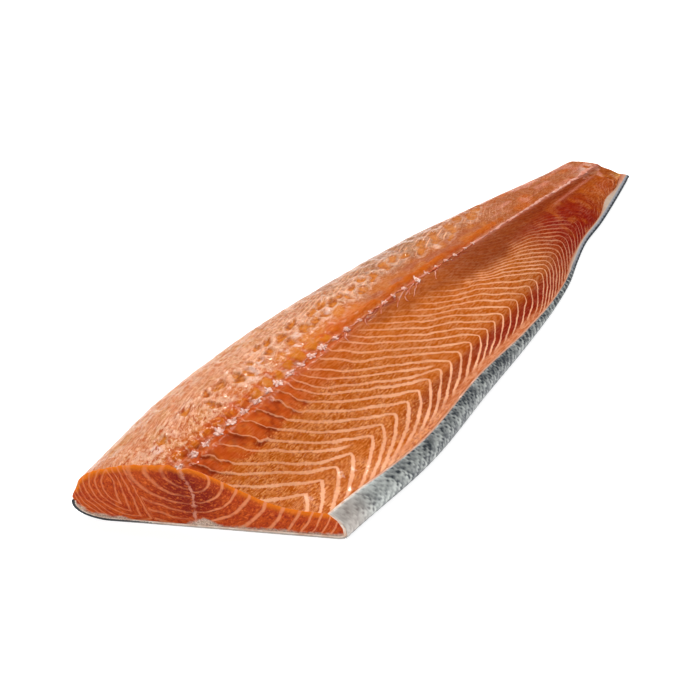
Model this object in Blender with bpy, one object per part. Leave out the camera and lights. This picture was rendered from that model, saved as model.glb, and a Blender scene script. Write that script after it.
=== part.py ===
"""A side of salmon with its skin on: a long fillet lying skin down, cut across behind the head and at the tail.

Three layers lie on each other: the skin, the thin pale fat under it and the thick flesh. Each is a loft whose
rows follow the flesh's own chevrons, and two knife cuts trim the ends of all three together.
The frame: +X towards the belly edge, +Y towards the tail, +Z up, origin on the table under the middle.
"""

import math
from collections import namedtuple

import bmesh
import bpy
import numpy as np

MM = 0.001

# The fillet's plan and heights, in millimetres, at places along its length. The skin on the dorsal side ends at
# `shoulder` of the loin's height. The wall is the belly edge, which leans in by `lean` up to its top at wall_z.
# `bulge` and `hollow` shape the slope between the centre row and the wall, (1 - u ** bulge) ** hollow: the belly
# is hollow behind the head and domed towards the tail.
Station = namedtuple("Station", "y dorsal_x centre_x belly_x loin_z shoulder wall_z lean bulge hollow")
STATIONS = (
    Station(-330, -52.0, -7.0, 60.0, 42.0, 0.54, 20.0, 8.0, 1.75, 3.3),
    Station(-255, -58.8, -8.0, 63.5, 42.2, 0.54, 19.5, 8.0, 1.75, 3.3),
    Station(-185, -68.6, -9.5, 65.7, 42.5, 0.56, 17.5, 7.4, 1.75, 3.2),
    Station(-115, -69.7, -10.5, 71.0, 41.0, 0.58, 14.3, 6.0, 1.70, 2.6),
    Station(-45, -65.2, -9.8, 66.8, 37.5, 0.60, 13.6, 5.6, 1.70, 2.1),
    Station(15, -60.0, -8.6, 63.3, 32.5, 0.62, 8.4, 3.5, 1.75, 1.6),
    Station(65, -54.2, -7.4, 58.3, 27.5, 0.66, 5.0, 2.5, 1.85, 1.15),
    Station(90, -49.5, -6.6, 54.0, 24.9, 0.68, 4.6, 2.2, 1.90, 1.05),
    Station(115, -45.5, -5.8, 47.2, 22.2, 0.70, 4.4, 2.0, 1.90, 1.00),
    Station(142, -41.0, -5.0, 41.0, 19.3, 0.72, 4.4, 2.0, 1.90, 0.95),
    Station(175, -35.5, -3.6, 37.9, 15.9, 0.72, 4.4, 2.0, 1.90, 0.90),
    Station(215, -28.8, -1.8, 32.0, 12.2, 0.72, 4.5, 2.0, 1.90, 0.85),
    Station(320, -16.0, 2.0, 13.0, 7.5, 0.72, 4.6, 2.0, 1.90, 0.80),
)

# The two knife cuts: a point that each passes through, and how far it is turned from square across.
HEAD_CUT = (64.3, -187.0)
HEAD_CUT_DEG = 29.0
TAIL_CUT = (23.5, 253.0)
TAIL_CUT_DEG = 17.0

# The middle of the whole fillet's box in the plan above, which becomes the origin.
MIDDLE = (0.46, -0.83)

# The layers, from the table up, with the clearance that parts them.
SKIN = 1.0
FAT = 0.9
GAP = 0.3
FAT_INSET = SKIN + GAP
FLESH_INSET = FAT_INSET + FAT + GAP

# Both long edges are elliptic arcs: a lower quarter from the table up to the widest line, then an upper arc
# that stops where the skin was cut, ARC_END_DEG above it.
ARC_END_DEG = 40.0
WALL_FOOT = 5.0
WALL_WIDEST_Z, WALL_WIDEST_RISE = 2.8, 0.05
DORSAL_FOOT = 18.0
DORSAL_WIDEST_Z, DORSAL_WIDEST_RISE = 0.8, 0.24
LOIN_ROUNDNESS = 2.1

# One muscle segment along the fillet, and the chevron that it makes: how far its line runs towards the tail
# between the centre row and the dorsal edge, and between the centre row and the kink near the belly.
SEGMENT = 10.3
KINK_U = 0.74
KINK_SWEEP = 50.0
WALL_SWEEP = 22.0
DORSAL_SWEEP = 46.0
FIRST_ROW_Y = -312.0
LAST_ROW_Y = 275.0

# Relief of the cut flesh, as heights. Widths that end in _u are shares of the way from the centre row to an edge.
# The dorsal half's ridges are flatter, and all of them fade out at both edges. The groove under the fat nodules
# gets shallow at the tail.
RIDGE = 0.45
DORSAL_RIDGE_SHARE = 0.5
RIDGE_FADE_POWER = 6
GROOVE_DEPTH = 2.0
GROOVE_WIDTH_U = 0.05
GROOVE_FADE_FROM_Y, GROOVE_FADE_TO_Y, GROOVE_LEAST = 175.0, 235.0, 0.3
NODULE_RISE = 1.5
PIT_DEPTH = 1.7
PIT_SHALLOWEST_SHARE = 0.5
PIT_COLUMNS_U = (-0.36, -0.52)
PIT_WIDTH_U = 0.05
PITS_FROM_Y, PITS_TO_Y = -195.0, -35.0
PIT_SEED = 11

# Where the flesh was trimmed back from the belly wall and the fat lies bare: place, width and half length. The
# fat stands up as a broad lip there, which stops a little short of the flesh.
BARE_FAT = ((112.0, 1.5, 16.0), (207.0, 3.8, 16.0), (248.0, 3.0, 16.0))
FAT_LIP_SHARE = 0.85

# Where a row of the loft has its points: over the top, along the flat underside, and round the two edges.
TOP_DORSAL_U = (-0.95, -0.87, -0.78, -0.69, -0.61, -0.52, -0.44, -0.36, -0.27, -0.18, -0.09)
TOP_BELLY_U = (0.0, 0.08, 0.17, 0.27, 0.37, 0.47, 0.57, 0.67, 0.76, 0.85, 0.93)
TABLE_U = (0.7, 0.35, 0.0, -0.3, -0.6)
WALL_ANGLES = (ARC_END_DEG, ARC_END_DEG / 2, 0.0, -45.0, -90.0)
DORSAL_ANGLES = (-90.0, -60.0, -30.0, 0.0, ARC_END_DEG / 2, ARC_END_DEG)


def clear_scene():
    for obj in list(bpy.data.objects):
        bpy.data.objects.remove(obj)


def smooth_through(places, values, y):
    """The value at y on a smooth curve through the values given at the places."""
    slopes = np.gradient(values, places)
    i = int(np.clip(np.searchsorted(places, y) - 1, 0, len(places) - 2))
    span = places[i + 1] - places[i]
    t = float(np.clip((y - places[i]) / span, 0.0, 1.0))
    ease = t * t * (3 - 2 * t)
    leave = span * slopes[i] * t * (1 - t) ** 2
    arrive = -span * slopes[i + 1] * t * t * (1 - t)
    return values[i] * (1 - ease) + values[i + 1] * ease + leave + arrive


STATION_COLUMNS = {name: np.array([getattr(s, name) for s in STATIONS], float) for name in Station._fields}


def station_at(y):
    """The fillet's measures at any y."""
    places = STATION_COLUMNS["y"]
    return Station(*(smooth_through(places, STATION_COLUMNS[name], y) for name in Station._fields))


def sweep(u):
    """How far towards the tail a row runs at u, which is -1 at the dorsal edge, 0 at the centre row, 1 at the wall."""
    if u < 0:
        return DORSAL_SWEEP * -u
    if u < KINK_U:
        return KINK_SWEEP * u / KINK_U
    return KINK_SWEEP + (WALL_SWEEP - KINK_SWEEP) * (u - KINK_U) / (1 - KINK_U)


def wall_point(s, angle, inset):
    """(x, z) on the belly wall at an angle above its widest line, or below it if negative, moved in by inset."""
    widest_z = WALL_WIDEST_Z + WALL_WIDEST_RISE * s.wall_z
    if angle < 0:
        reach, height = WALL_FOOT, widest_z - inset
    else:
        reach = s.lean / (1 - math.cos(math.radians(ARC_END_DEG)))
        height = (s.wall_z - widest_z) / math.sin(math.radians(ARC_END_DEG))
    turn = math.radians(angle)
    x = s.belly_x - reach + (reach - inset) * math.cos(turn)
    return x, widest_z + height * math.sin(turn)


def dorsal_point(s, angle, inset):
    """(x, z) on the dorsal edge, in the same way."""
    widest_z = DORSAL_WIDEST_Z + DORSAL_WIDEST_RISE * s.loin_z
    if angle < 0:
        height = widest_z - inset
    else:
        height = (s.shoulder * s.loin_z - widest_z) / math.sin(math.radians(ARC_END_DEG))
    turn = math.radians(angle)
    x = s.dorsal_x + DORSAL_FOOT - (DORSAL_FOOT - inset) * math.cos(turn)
    return x, widest_z + height * math.sin(turn)


def underside(row_y, inset, bare=0.0):
    """Points round the lower side of a layer's surface, from the top of the wall to the top of the dorsal edge.

    The wall is moved in by `bare` beside the inset that it has in common with the rest.
    """
    points = []
    for angle in WALL_ANGLES:
        y = row_y + sweep(1.0)
        x, z = wall_point(station_at(y), angle, inset)
        points.append((x - bare, y, z))
    for u in TABLE_U:
        y = row_y + sweep(u)
        s = station_at(y)
        left = s.dorsal_x + DORSAL_FOOT
        right = s.belly_x - WALL_FOOT - bare
        points.append((left + (right - left) * (u + 1) / 2, y, inset))
    for angle in DORSAL_ANGLES:
        y = row_y + sweep(-1.0)
        x, z = dorsal_point(station_at(y), angle, inset)
        points.append((x, y, z))
    return points


def bump(distance, width):
    return math.exp(-((distance / width) ** 2))


def bare_fat(y):
    """How far the flesh was trimmed back from the wall."""
    return sum(width * bump(y - place, length) for place, width, length in BARE_FAT)


def flesh_relief(u, y, crown, pit_share):
    """Height that the cut flesh adds: segment ridges, the groove with its row of fat nodules, and the pits."""
    ridge = RIDGE if u > 0 else RIDGE * DORSAL_RIDGE_SHARE
    height = (ridge if crown else -ridge) * (1 - abs(u) ** RIDGE_FADE_POWER)
    groove = np.interp(y, (GROOVE_FADE_FROM_Y, GROOVE_FADE_TO_Y), (1.0, GROOVE_LEAST))
    nodule = NODULE_RISE if crown else 0.0
    height += (nodule - GROOVE_DEPTH) * groove * bump(u, GROOVE_WIDTH_U)
    if not crown and PITS_FROM_Y < y < PITS_TO_Y:
        for column_u in PIT_COLUMNS_U:
            height -= PIT_DEPTH * pit_share * bump(u - column_u, PIT_WIDTH_U)
    return height


def flesh_top(row_y, crown, pit_share):
    """Points over the cut face of the flesh, from the dorsal edge to the wall, both edges left out."""
    points = []
    for u in TOP_DORSAL_U + TOP_BELLY_U:
        y = row_y + sweep(u)
        s = station_at(y)
        dorsal_x, dorsal_z = dorsal_point(s, ARC_END_DEG, FLESH_INSET)
        wall_x, wall_z = wall_point(s, ARC_END_DEG, FLESH_INSET)
        if u < 0:
            x = s.centre_x + (s.centre_x - dorsal_x) * u
            share = (1 - abs(u) ** LOIN_ROUNDNESS) ** (1 / LOIN_ROUNDNESS)
            z = dorsal_z + (s.loin_z - dorsal_z) * share
        else:
            x = s.centre_x + (wall_x - bare_fat(y) - s.centre_x) * u
            z = wall_z + (s.loin_z - wall_z) * (1 - u**s.bulge) ** s.hollow
        points.append((x, y, z + flesh_relief(u, y, crown, pit_share)))
    return points


def flesh_rows():
    """Rows of the flesh, two for each muscle segment: one on its crown and one in the seam beside it."""
    rng = np.random.default_rng(PIT_SEED)
    for number, y in enumerate(np.arange(FIRST_ROW_Y, LAST_ROW_Y, SEGMENT / 2)):
        crown = number % 2 == 0
        pit_share = rng.uniform(PIT_SHALLOWEST_SHARE, 1.0)
        yield flesh_top(y, crown, pit_share) + underside(y, FLESH_INSET, bare_fat(y + sweep(1.0)))


def fat_rows():
    """Rows of the fat: its outer surface, then its inner one back again. It is broad where it lies bare."""
    for y in np.arange(FIRST_ROW_Y, LAST_ROW_Y, SEGMENT):
        inner = underside(y, FAT_INSET + FAT, FAT_LIP_SHARE * bare_fat(y + sweep(1.0)))
        yield underside(y, FAT_INSET) + inner[::-1]


def skin_rows():
    """Rows of the skin, in the same way."""
    for y in np.arange(FIRST_ROW_Y, LAST_ROW_Y, SEGMENT):
        yield underside(y, 0.0) + underside(y, SKIN)[::-1]


def material(name, colour, roughness):
    made = bpy.data.materials.new(name)
    made.use_nodes = True
    shader = made.node_tree.nodes["Principled BSDF"]
    shader.inputs["Base Color"].default_value = (*colour, 1.0)
    shader.inputs["Roughness"].default_value = roughness
    made.diffuse_color = (*colour, 1.0)
    return made


def knife_cut(mesh, through, turned_deg, side):
    """Trim a mesh at an upright plane and close it there. The waste is on the head side (-1) or tail side (1)."""
    turn = math.radians(turned_deg)
    outward = (-math.sin(turn) * side, math.cos(turn) * side, 0.0)
    place = (through[0] * MM, through[1] * MM, 0.0)
    everything = mesh.verts[:] + mesh.edges[:] + mesh.faces[:]
    cut = bmesh.ops.bisect_plane(mesh, geom=everything, plane_co=place, plane_no=outward, clear_outer=True)
    rim = [item for item in cut["geom_cut"] if isinstance(item, bmesh.types.BMEdge)]
    bmesh.ops.holes_fill(mesh, edges=rim, sides=0)


def loft(name, rows, collection, finish):
    """A closed surface over rows of equally many points, trimmed by the two knife cuts."""
    mesh = bmesh.new()
    made = [[mesh.verts.new([MM * c for c in point]) for point in row] for row in rows]
    count = len(made[0])
    for near, far in zip(made, made[1:]):
        for i in range(count):
            j = (i + 1) % count
            mesh.faces.new((near[i], near[j], far[j], far[i]))
    knife_cut(mesh, HEAD_CUT, HEAD_CUT_DEG, -1)
    knife_cut(mesh, TAIL_CUT, TAIL_CUT_DEG, 1)
    bmesh.ops.recalc_face_normals(mesh, faces=mesh.faces[:])
    bmesh.ops.translate(mesh, verts=mesh.verts[:], vec=(-MIDDLE[0] * MM, -MIDDLE[1] * MM, 0.0))
    data = bpy.data.meshes.new(name)
    mesh.to_mesh(data)
    mesh.free()
    data.materials.append(finish)
    collection.objects.link(bpy.data.objects.new(name, data))


def main():
    clear_scene()
    fillet = bpy.data.collections.new("salmon_side")
    bpy.context.scene.collection.children.link(fillet)
    loft("flesh", flesh_rows(), fillet, material("flesh", (0.62, 0.17, 0.045), 0.35))
    loft("fat", fat_rows(), fillet, material("fat", (0.75, 0.60, 0.48), 0.45))
    loft("skin", skin_rows(), fillet, material("skin", (0.22, 0.24, 0.26), 0.35))


main()
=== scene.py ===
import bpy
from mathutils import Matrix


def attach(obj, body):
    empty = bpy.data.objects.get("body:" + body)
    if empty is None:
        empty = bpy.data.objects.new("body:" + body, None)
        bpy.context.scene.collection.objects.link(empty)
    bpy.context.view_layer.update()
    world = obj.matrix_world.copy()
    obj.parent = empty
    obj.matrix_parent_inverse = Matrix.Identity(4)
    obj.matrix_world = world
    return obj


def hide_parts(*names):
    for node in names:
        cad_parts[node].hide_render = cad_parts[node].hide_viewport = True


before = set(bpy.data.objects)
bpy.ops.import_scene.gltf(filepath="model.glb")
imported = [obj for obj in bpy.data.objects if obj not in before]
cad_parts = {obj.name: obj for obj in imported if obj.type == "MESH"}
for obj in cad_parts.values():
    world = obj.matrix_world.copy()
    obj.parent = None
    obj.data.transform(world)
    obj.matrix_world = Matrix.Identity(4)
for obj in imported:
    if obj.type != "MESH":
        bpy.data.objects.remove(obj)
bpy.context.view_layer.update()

import math
from types import SimpleNamespace

import bpy
import numpy as np
from mathutils import Vector

# ------------------------------------------------------------
# The camera. It looks down along the fillet from beyond its belly side, with the head cut nearest.
# It is turned and raised as many degrees as the photographer's was.
MM = 0.001
CAMERA_TARGET, CAMERA_DISTANCE = Vector((-26.4, -54.9, 0)) * MM, 667 * MM
CAMERA_TURNED, CAMERA_RAISED = math.radians(35.2), math.radians(37)
CAMERA_LENS, SENSOR, CAMERA_REACH = 55, 36, 20


def add(name, data):
    """A new object in the scene."""
    made = bpy.data.objects.new(name, data)
    bpy.context.scene.collection.objects.link(made)
    return made


level = math.cos(CAMERA_RAISED)
towards_camera = Vector(
    (math.sin(CAMERA_TURNED) * level, -math.cos(CAMERA_TURNED) * level, math.sin(CAMERA_RAISED))
)
camera = add("camera", bpy.data.cameras.new("camera"))
camera.data.lens = CAMERA_LENS
camera.data.sensor_width = SENSOR
camera.data.clip_end = CAMERA_REACH
camera.location = CAMERA_TARGET + towards_camera * CAMERA_DISTANCE
camera.rotation_euler = towards_camera.to_track_quat("Z", "Y").to_euler()
bpy.context.scene.camera = camera

# ------------------------------------------------------------
# The studio: a glowing white table, and a sky that gives little light but that the camera sees pure white. A
# large soft lamp hangs overhead, a small one behind the loin makes the wet flesh glint, and a weak one on the
# camera's side keeps the skin readable.
WHITE = (1, 1, 1, 1)
TABLE_HALF, TABLE_GREY, TABLE_GLOW = 4, (0.6, 0.6, 0.6, 1), 0.78
SKY_LIGHT, SKY_SEEN = 0.2, 1
EXPOSURE, GAMMA = 0.1, 0.9
LAMPS = (
    ("overhead lamp", (-0.35, 0.3, 1.4), 0.6, 18),
    ("glint lamp", (-0.75, 0.95, 0.95), 0.12, 4),
    ("front lamp", (0.9, -0.9, 0.8), 0.7, 3.5),
)


def fill(tree, socket, value):
    """Gives a node's input another node's output, or a value. None leaves it as it is."""
    if isinstance(value, bpy.types.NodeSocket):
        tree.links.new(value, socket)
    elif value is not None:
        socket.default_value = value


def wire(tree, kind, *values, out=0, **settings):
    """Adds a shader node, fills its inputs in order and gives one of its outputs."""
    node = tree.nodes.new("ShaderNode" + kind)
    for key, value in settings.items():
        setattr(node, key, value)
    for socket, value in zip(node.inputs, values):
        fill(tree, socket, value)
    return node.outputs[out]


class Finish:
    """A material in the making. Its methods add the kinds of node that the finishes share."""

    def __init__(self, name):
        self.material = bpy.data.materials.new(name)
        self.material.use_nodes = True
        self.tree = self.material.node_tree

    def mark(self, name, out=2):
        """What the mesh says at a point: its colour (0), vector (1) or number (2) of that name."""
        return wire(self.tree, "Attribute", attribute_name=name, out=out)

    def place(self):
        """Where the point is on the object."""
        return wire(self.tree, "TexCoord", out=3)

    def drawn_out(self, place, scale, turn=0):
        """The place turned about the vertical and scaled, so that a noise there has longer spots."""
        if turn:
            place = wire(self.tree, "VectorRotate", place, (0, 0, 0), (0, 0, 1), turn)
        return wire(self.tree, "VectorMath", place, scale, operation="MULTIPLY")

    def noise(self, place, scale, detail=3, rough=0.6):
        return wire(self.tree, "TexNoise", place, None, scale, detail, rough)

    def math(self, operation, first, *others):
        """The operation on one value, or on the first value and each of the others in turn."""
        for other in others or (None,):
            first = wire(self.tree, "Math", first, other, operation=operation)
        return first

    def plus(self, *values):
        return self.math("ADD", *values)

    def times(self, *values):
        return self.math("MULTIPLY", *values)

    def ramp(self, value, start, end, low=0, high=1, kind="SMOOTHSTEP"):
        """Low before start and high past end."""
        return wire(self.tree, "MapRange", value, start, end, low, high, interpolation_type=kind)

    def blend(self, share, low, high):
        """A colour from low to high."""
        return wire(self.tree, "Mix", share, *[None] * 5, low, high, data_type="RGBA", out=2)

    def tinge(self, colour, tone, where, pattern, start, end, most):
        """The colour, with a share of up to `most` of another tone where the pattern is past end."""
        return self.blend(self.times(where, self.ramp(pattern, start, end, 0, most)), colour, tone)

    def shift(self, colour, hue, saturation, brightness):
        return wire(self.tree, "HueSaturation", hue, saturation, brightness, 1, colour)

    def bump(self, strength, distance, height):
        return wire(self.tree, "Bump", strength, distance, 0, height)

    def surface(self, inputs):
        """Gives the shader its inputs and returns the finished material."""
        for name, value in inputs.items():
            fill(self.tree, self.tree.nodes["Principled BSDF"].inputs[name], value)
        return self.material


table_mesh = bpy.data.meshes.new("table")
corners = [(TABLE_HALF * i, TABLE_HALF * j, 0) for i, j in ((-1, -1), (1, -1), (1, 1), (-1, 1))]
table_mesh.from_pydata(corners, [], [(0, 1, 2, 3)])
table_mesh.materials.append(
    Finish("white table").surface(
        {
            "Base Color": TABLE_GREY,
            "Roughness": 0.7,
            "Specular IOR Level": 0.2,
            "Emission Color": WHITE,
            "Emission Strength": TABLE_GLOW,
        }
    )
)
table = add("table", table_mesh)

sky = bpy.data.worlds.new("white sky")
sky.use_nodes = True
sky_inputs = sky.node_tree.nodes["Background"].inputs
seen = wire(sky.node_tree, "LightPath")
fill(sky.node_tree, sky_inputs["Color"], WHITE)
fill(sky.node_tree, sky_inputs["Strength"], wire(sky.node_tree, "MapRange", seen, 0, 1, SKY_LIGHT, SKY_SEEN))
bpy.context.scene.world = sky
bpy.context.scene.view_settings.view_transform = "Standard"
bpy.context.scene.view_settings.exposure = EXPOSURE
bpy.context.scene.view_settings.gamma = GAMMA

for name, place, size, watts in LAMPS:
    lamp = add(name, bpy.data.lights.new(name, "AREA"))
    lamp.data.size = size
    lamp.data.energy = watts
    lamp.location = place
    lamp.rotation_euler = Vector(place).to_track_quat("Z", "Y").to_euler()

# ------------------------------------------------------------
# The fillet's form, which the flesh, the fat and the skin share. It is the CAD part's own: widths and heights
# at places along its length in millimetres, +Y towards the tail and +X towards the belly, two elliptic
# edges, and a knife cut at each end. MIDDLE is the CAD origin's place in these measures.
MEASURES = "y dorsal_x centre_x belly_x loin_z shoulder wall_z lean bulge hollow".split()
STATIONS = np.array(
    (
        (-330, -52.0, -7.0, 60.0, 42.0, 0.54, 20.0, 8.0, 1.75, 3.3),
        (-255, -58.8, -8.0, 63.5, 42.2, 0.54, 19.5, 8.0, 1.75, 3.3),
        (-185, -68.6, -9.5, 65.7, 42.5, 0.56, 17.5, 7.4, 1.75, 3.2),
        (-115, -69.7, -10.5, 71.0, 41.0, 0.58, 14.3, 6.0, 1.70, 2.6),
        (-45, -65.2, -9.8, 66.8, 37.5, 0.60, 13.6, 5.6, 1.70, 2.1),
        (15, -60.0, -8.6, 63.3, 32.5, 0.62, 8.4, 3.5, 1.75, 1.6),
        (65, -54.2, -7.4, 58.3, 27.5, 0.66, 5.0, 2.5, 1.85, 1.15),
        (90, -49.5, -6.6, 54.0, 24.9, 0.68, 4.6, 2.2, 1.90, 1.05),
        (115, -45.5, -5.8, 47.2, 22.2, 0.70, 4.4, 2.0, 1.90, 1.00),
        (142, -41.0, -5.0, 41.0, 19.3, 0.72, 4.4, 2.0, 1.90, 0.95),
        (175, -35.5, -3.6, 37.9, 15.9, 0.72, 4.4, 2.0, 1.90, 0.90),
        (215, -28.8, -1.8, 32.0, 12.2, 0.72, 4.5, 2.0, 1.90, 0.85),
        (320, -16.0, 2.0, 13.0, 7.5, 0.72, 4.6, 2.0, 1.90, 0.80),
    )
)
MIDDLE = np.array((0.46, -0.83, 0))
HEAD_CUT, HEAD_CUT_TURN = (64.3, -187.0), math.radians(29)
TAIL_CUT, TAIL_CUT_TURN = (23.5, 253.0), math.radians(17)
CUT_TRIES = 14
ARC_END = math.radians(40)
WALL_FOOT, WALL_WIDEST = 5.0, (2.8, 0.05)
DORSAL_FOOT, DORSAL_WIDEST = 18.0, (0.8, 0.24)
LOIN_ROUNDNESS = 2.1
FLESH_INSET, BARE_LOIN_INSET = 2.5, 0.3
BARE_FAT = ((112, 1.5, 16), (207, 3.8, 16), (248, 3.0, 16))


def measure(name, y):
    """One of the fillet's measures at any y, on a smooth curve through the stations."""
    places, values = STATIONS[:, 0], STATIONS[:, MEASURES.index(name)]
    slopes = np.gradient(values, places)
    i = np.clip(np.searchsorted(places, y) - 1, 0, len(places) - 2)
    span = places[i + 1] - places[i]
    t = np.clip((y - places[i]) / span, 0, 1)
    ease = t * t * (3 - 2 * t)
    bend = slopes[i] * t * (1 - t) ** 2 - slopes[i + 1] * t * t * (1 - t)
    return values[i] * (1 - ease) + values[i + 1] * ease + span * bend


def wall_point(angle, inset, y):
    """(x, z) on the belly wall, at an angle above its widest line or below it, moved in by inset."""
    wall_z = measure("wall_z", y)
    widest = WALL_WIDEST[0] + WALL_WIDEST[1] * wall_z
    above = angle > 0
    reach = np.where(above, measure("lean", y) / (1 - math.cos(ARC_END)), WALL_FOOT)
    height = np.where(above, (wall_z - widest) / math.sin(ARC_END), widest - inset)
    x = measure("belly_x", y) - reach + (reach - inset) * np.cos(angle)
    return x, widest + height * np.sin(angle)


def dorsal_point(angle, inset, y):
    """(x, z) on the dorsal edge, in the same way."""
    loin_z = measure("loin_z", y)
    widest = DORSAL_WIDEST[0] + DORSAL_WIDEST[1] * loin_z
    top = (measure("shoulder", y) * loin_z - widest) / math.sin(ARC_END)
    height = np.where(angle > 0, top, widest - inset)
    x = measure("dorsal_x", y) + DORSAL_FOOT - (DORSAL_FOOT - inset) * np.cos(angle)
    return x, widest + height * np.sin(angle)


def hump(value, place, reach):
    """1 at a place, and falling to 0 on both sides of it."""
    return np.exp(-(((value - place) / reach) ** 2))


def bare_fat(y):
    """How far the flesh was trimmed back from the wall."""
    return sum(width * hump(y, place, reach) for place, width, reach in BARE_FAT)


def flesh_x(u, y):
    """x of the cut flesh at u: -1 is the dorsal edge, 0 the centre row and 1 the belly wall."""
    centre = measure("centre_x", y)
    dorsal = dorsal_point(ARC_END, BARE_LOIN_INSET, y)[0]
    wall = wall_point(ARC_END, FLESH_INSET, y)[0] - bare_fat(y)
    return centre + np.where(u < 0, centre - dorsal, wall - centre) * u


def flesh_z(u, y):
    """Height of the cut flesh before any relief."""
    loin_z = measure("loin_z", y)
    dorsal_z = dorsal_point(ARC_END, BARE_LOIN_INSET, y)[1]
    wall_z = wall_point(ARC_END, FLESH_INSET, y)[1]
    round_share = (1 - np.clip(-u, 0, 1) ** LOIN_ROUNDNESS) ** (1 / LOIN_ROUNDNESS)
    slope_share = (1 - np.clip(u, 0, 1) ** measure("bulge", y)) ** measure("hollow", y)
    dorsal, belly = dorsal_z + (loin_z - dorsal_z) * round_share, wall_z + (loin_z - wall_z) * slope_share
    return np.where(u < 0, dorsal, belly)


def cut_y(x, place, turn):
    """y at which a knife cut through a place crosses x."""
    return place[1] + (x - place[0]) * math.tan(turn)


def between_cuts(x_at, v):
    """(x, y) at v, from 0 in the head cut to 1 in the tail cut, on a line whose x at any y is known."""
    y = np.zeros(np.broadcast(x_at(0.0 * v), v).shape)
    for _ in range(CUT_TRIES):
        x = x_at(y)
        y = cut_y(x, HEAD_CUT, HEAD_CUT_TURN) * (1 - v) + cut_y(x, TAIL_CUT, TAIL_CUT_TURN) * v
    return x_at(y), y


def edge_line(edge_point, angles, inset, v, trimmed=0):
    """Points on one of the edges in rows v, moved in by a share of how far the flesh was trimmed."""
    x, y = between_cuts(lambda y: edge_point(angles, inset, y)[0] - trimmed * bare_fat(y), v)
    return np.stack([x, y, edge_point(angles, inset, y)[1]], -1)


def flat_between(first, second, steps):
    """Points straight across from the end of one line to the start of another, without either."""
    share = np.linspace(0, 1, steps + 2)[1:-1, None]
    return first[:, -1:] + (second[:, :1] - first[:, -1:]) * share


# ------------------------------------------------------------
# The flesh: thick raw muscle in V-shaped segments, parted by thin lines of pale fat. The knife opened it over
# the whole top, across the head end and at the tail. It is one closed mesh, finer than the CAD solid.
ROWS, DORSAL_COLUMNS, BELLY_COLUMNS = 530, 74, 84
FACE_ROWS, TAIL_ROWS, UNDERSIDE_STEP = 44, 10, 20
HEAD_END_PITCH = 0.75
FLESH_SOLE = 2.3
DORSAL_SKIN_END = math.radians(6)
BARE_FROM, BARE_TO = DORSAL_SKIN_END - math.radians(3), DORSAL_SKIN_END + math.radians(7)

# The belly's chevrons. Their tips lie on one line along the fillet and point to the tail. A pair of rows
# has places along the fillet, and then what the measure is there.
TIP_LINE = (
    (-260, -190, -150, 0, 40, 75, 100, 145, 200, 255),
    (39, 39.5, 41, 41.2, 40.8, 38.5, 34.5, 27, 20, 14),
)
TIP_COUNT = (
    (-290, -187, -148.5, -131.5, -71.5, -14, -4.8, 45.5, 74.8, 93, 150, 250, 420),
    (-7.2, 0, 3, 4, 9, 14, 15, 20, 23, 26, 35, 52, 80),
)
TIP_ROUNDING = ((-100, 0, 70, 130), (0.35, 0.6, 0.9, 2.2))
INNER_SLOPE = (
    (-230, -205, -165, -150, -125, -70, -45, -15, 15, 40, 100, 150),
    (1.55, 1.68, 1.66, 1.82, 2.03, 2.0, 1.97, 1.75, 1.78, 2.0, 1.8, 1.8),
)
INNER_STEEPER, STEEPER_FROM, STEEPER_TO = ((-70, -45, -20, 100), (0, 0.4, 1.4, 1.4)), 17.5, 27
FLAKE_SLOPE = ((-190, -150, -130, -100, -60), (0.72, 0.82, 1.15, 1.2, 1.75))
OUTER_SLOPE = ((-100, -30), (0.8, 0.95))
OUTER_BEND = ((-190, -150, -80, -20), (0.045, 0.075, 0.075, 0.09))
FLAKES_TO_X, RIM_TO_X, RIM_SLOPE, RIM_FROM_X = 8, -4, 0.8, -6.5
STEEPER_SOFT, FLAKES_SOFT, RIM_SOFT = 1.5, 0.8, 0.5

# In two places an extra fat line lies between two of the others, which make room for it on the inner side.
SPARE_LINES = (3.5, 10.5)
SPARE_ROOM, ROOM_FROM_TIP = ((2.65, 0.6, 0.35), (9.7, 0.6, 0.4), (11.7, 0.8, -0.33)), 8

# The dorsal half's segments are counted along the centre row and lean the other way, more so further out.
ROW_COUNT = ((-330, -226, -106, -45, 55, 150, 255, 340), (-9, 0, 12, 17, 25.5, 36, 52, 66))
DORSAL_LEAN, DORSAL_BEND = ((-230, -180, -130, -60), (0, 0.3, 0.9, 1.2)), (0.012, 0.0005)

RIPPLE_CELLS, RIPPLE_START = 64, 1000


def ripple(x, y, size, seed):
    """Smooth seeded unevenness between -1 and 1, with waves about `size` long."""
    table = np.random.default_rng(seed).uniform(-1, 1, (RIPPLE_CELLS, RIPPLE_CELLS))
    gx, gy = x / size + RIPPLE_START, y / size + RIPPLE_START
    ix, iy = np.floor(gx).astype(int), np.floor(gy).astype(int)
    fx, fy = gx - ix, gy - iy
    fx, fy = fx * fx * (3 - 2 * fx), fy * fy * (3 - 2 * fy)

    def row(iy):
        left = table[ix % RIPPLE_CELLS, iy % RIPPLE_CELLS]
        right = table[(ix + 1) % RIPPLE_CELLS, iy % RIPPLE_CELLS]
        return left * (1 - fx) + right * fx

    return row(iy) * (1 - fy) + row(iy + 1) * fy


def rise(value, start, end):
    """0 before start, 1 past end and a soft step between them. Start may be the larger one."""
    t = np.clip((value - start) / (end - start), 0, 1)
    return t * t * (3 - 2 * t)


def spots(x, y, size, seed, start, end):
    """Soft spots about `size` across, larger the lower start and end are."""
    return rise(ripple(x, y, size, seed), start, end)


def soft_over(value, softness):
    """The value where it is positive and 0 elsewhere, with a rounded corner."""
    return softness * np.logaddexp(0, value / softness)


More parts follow.
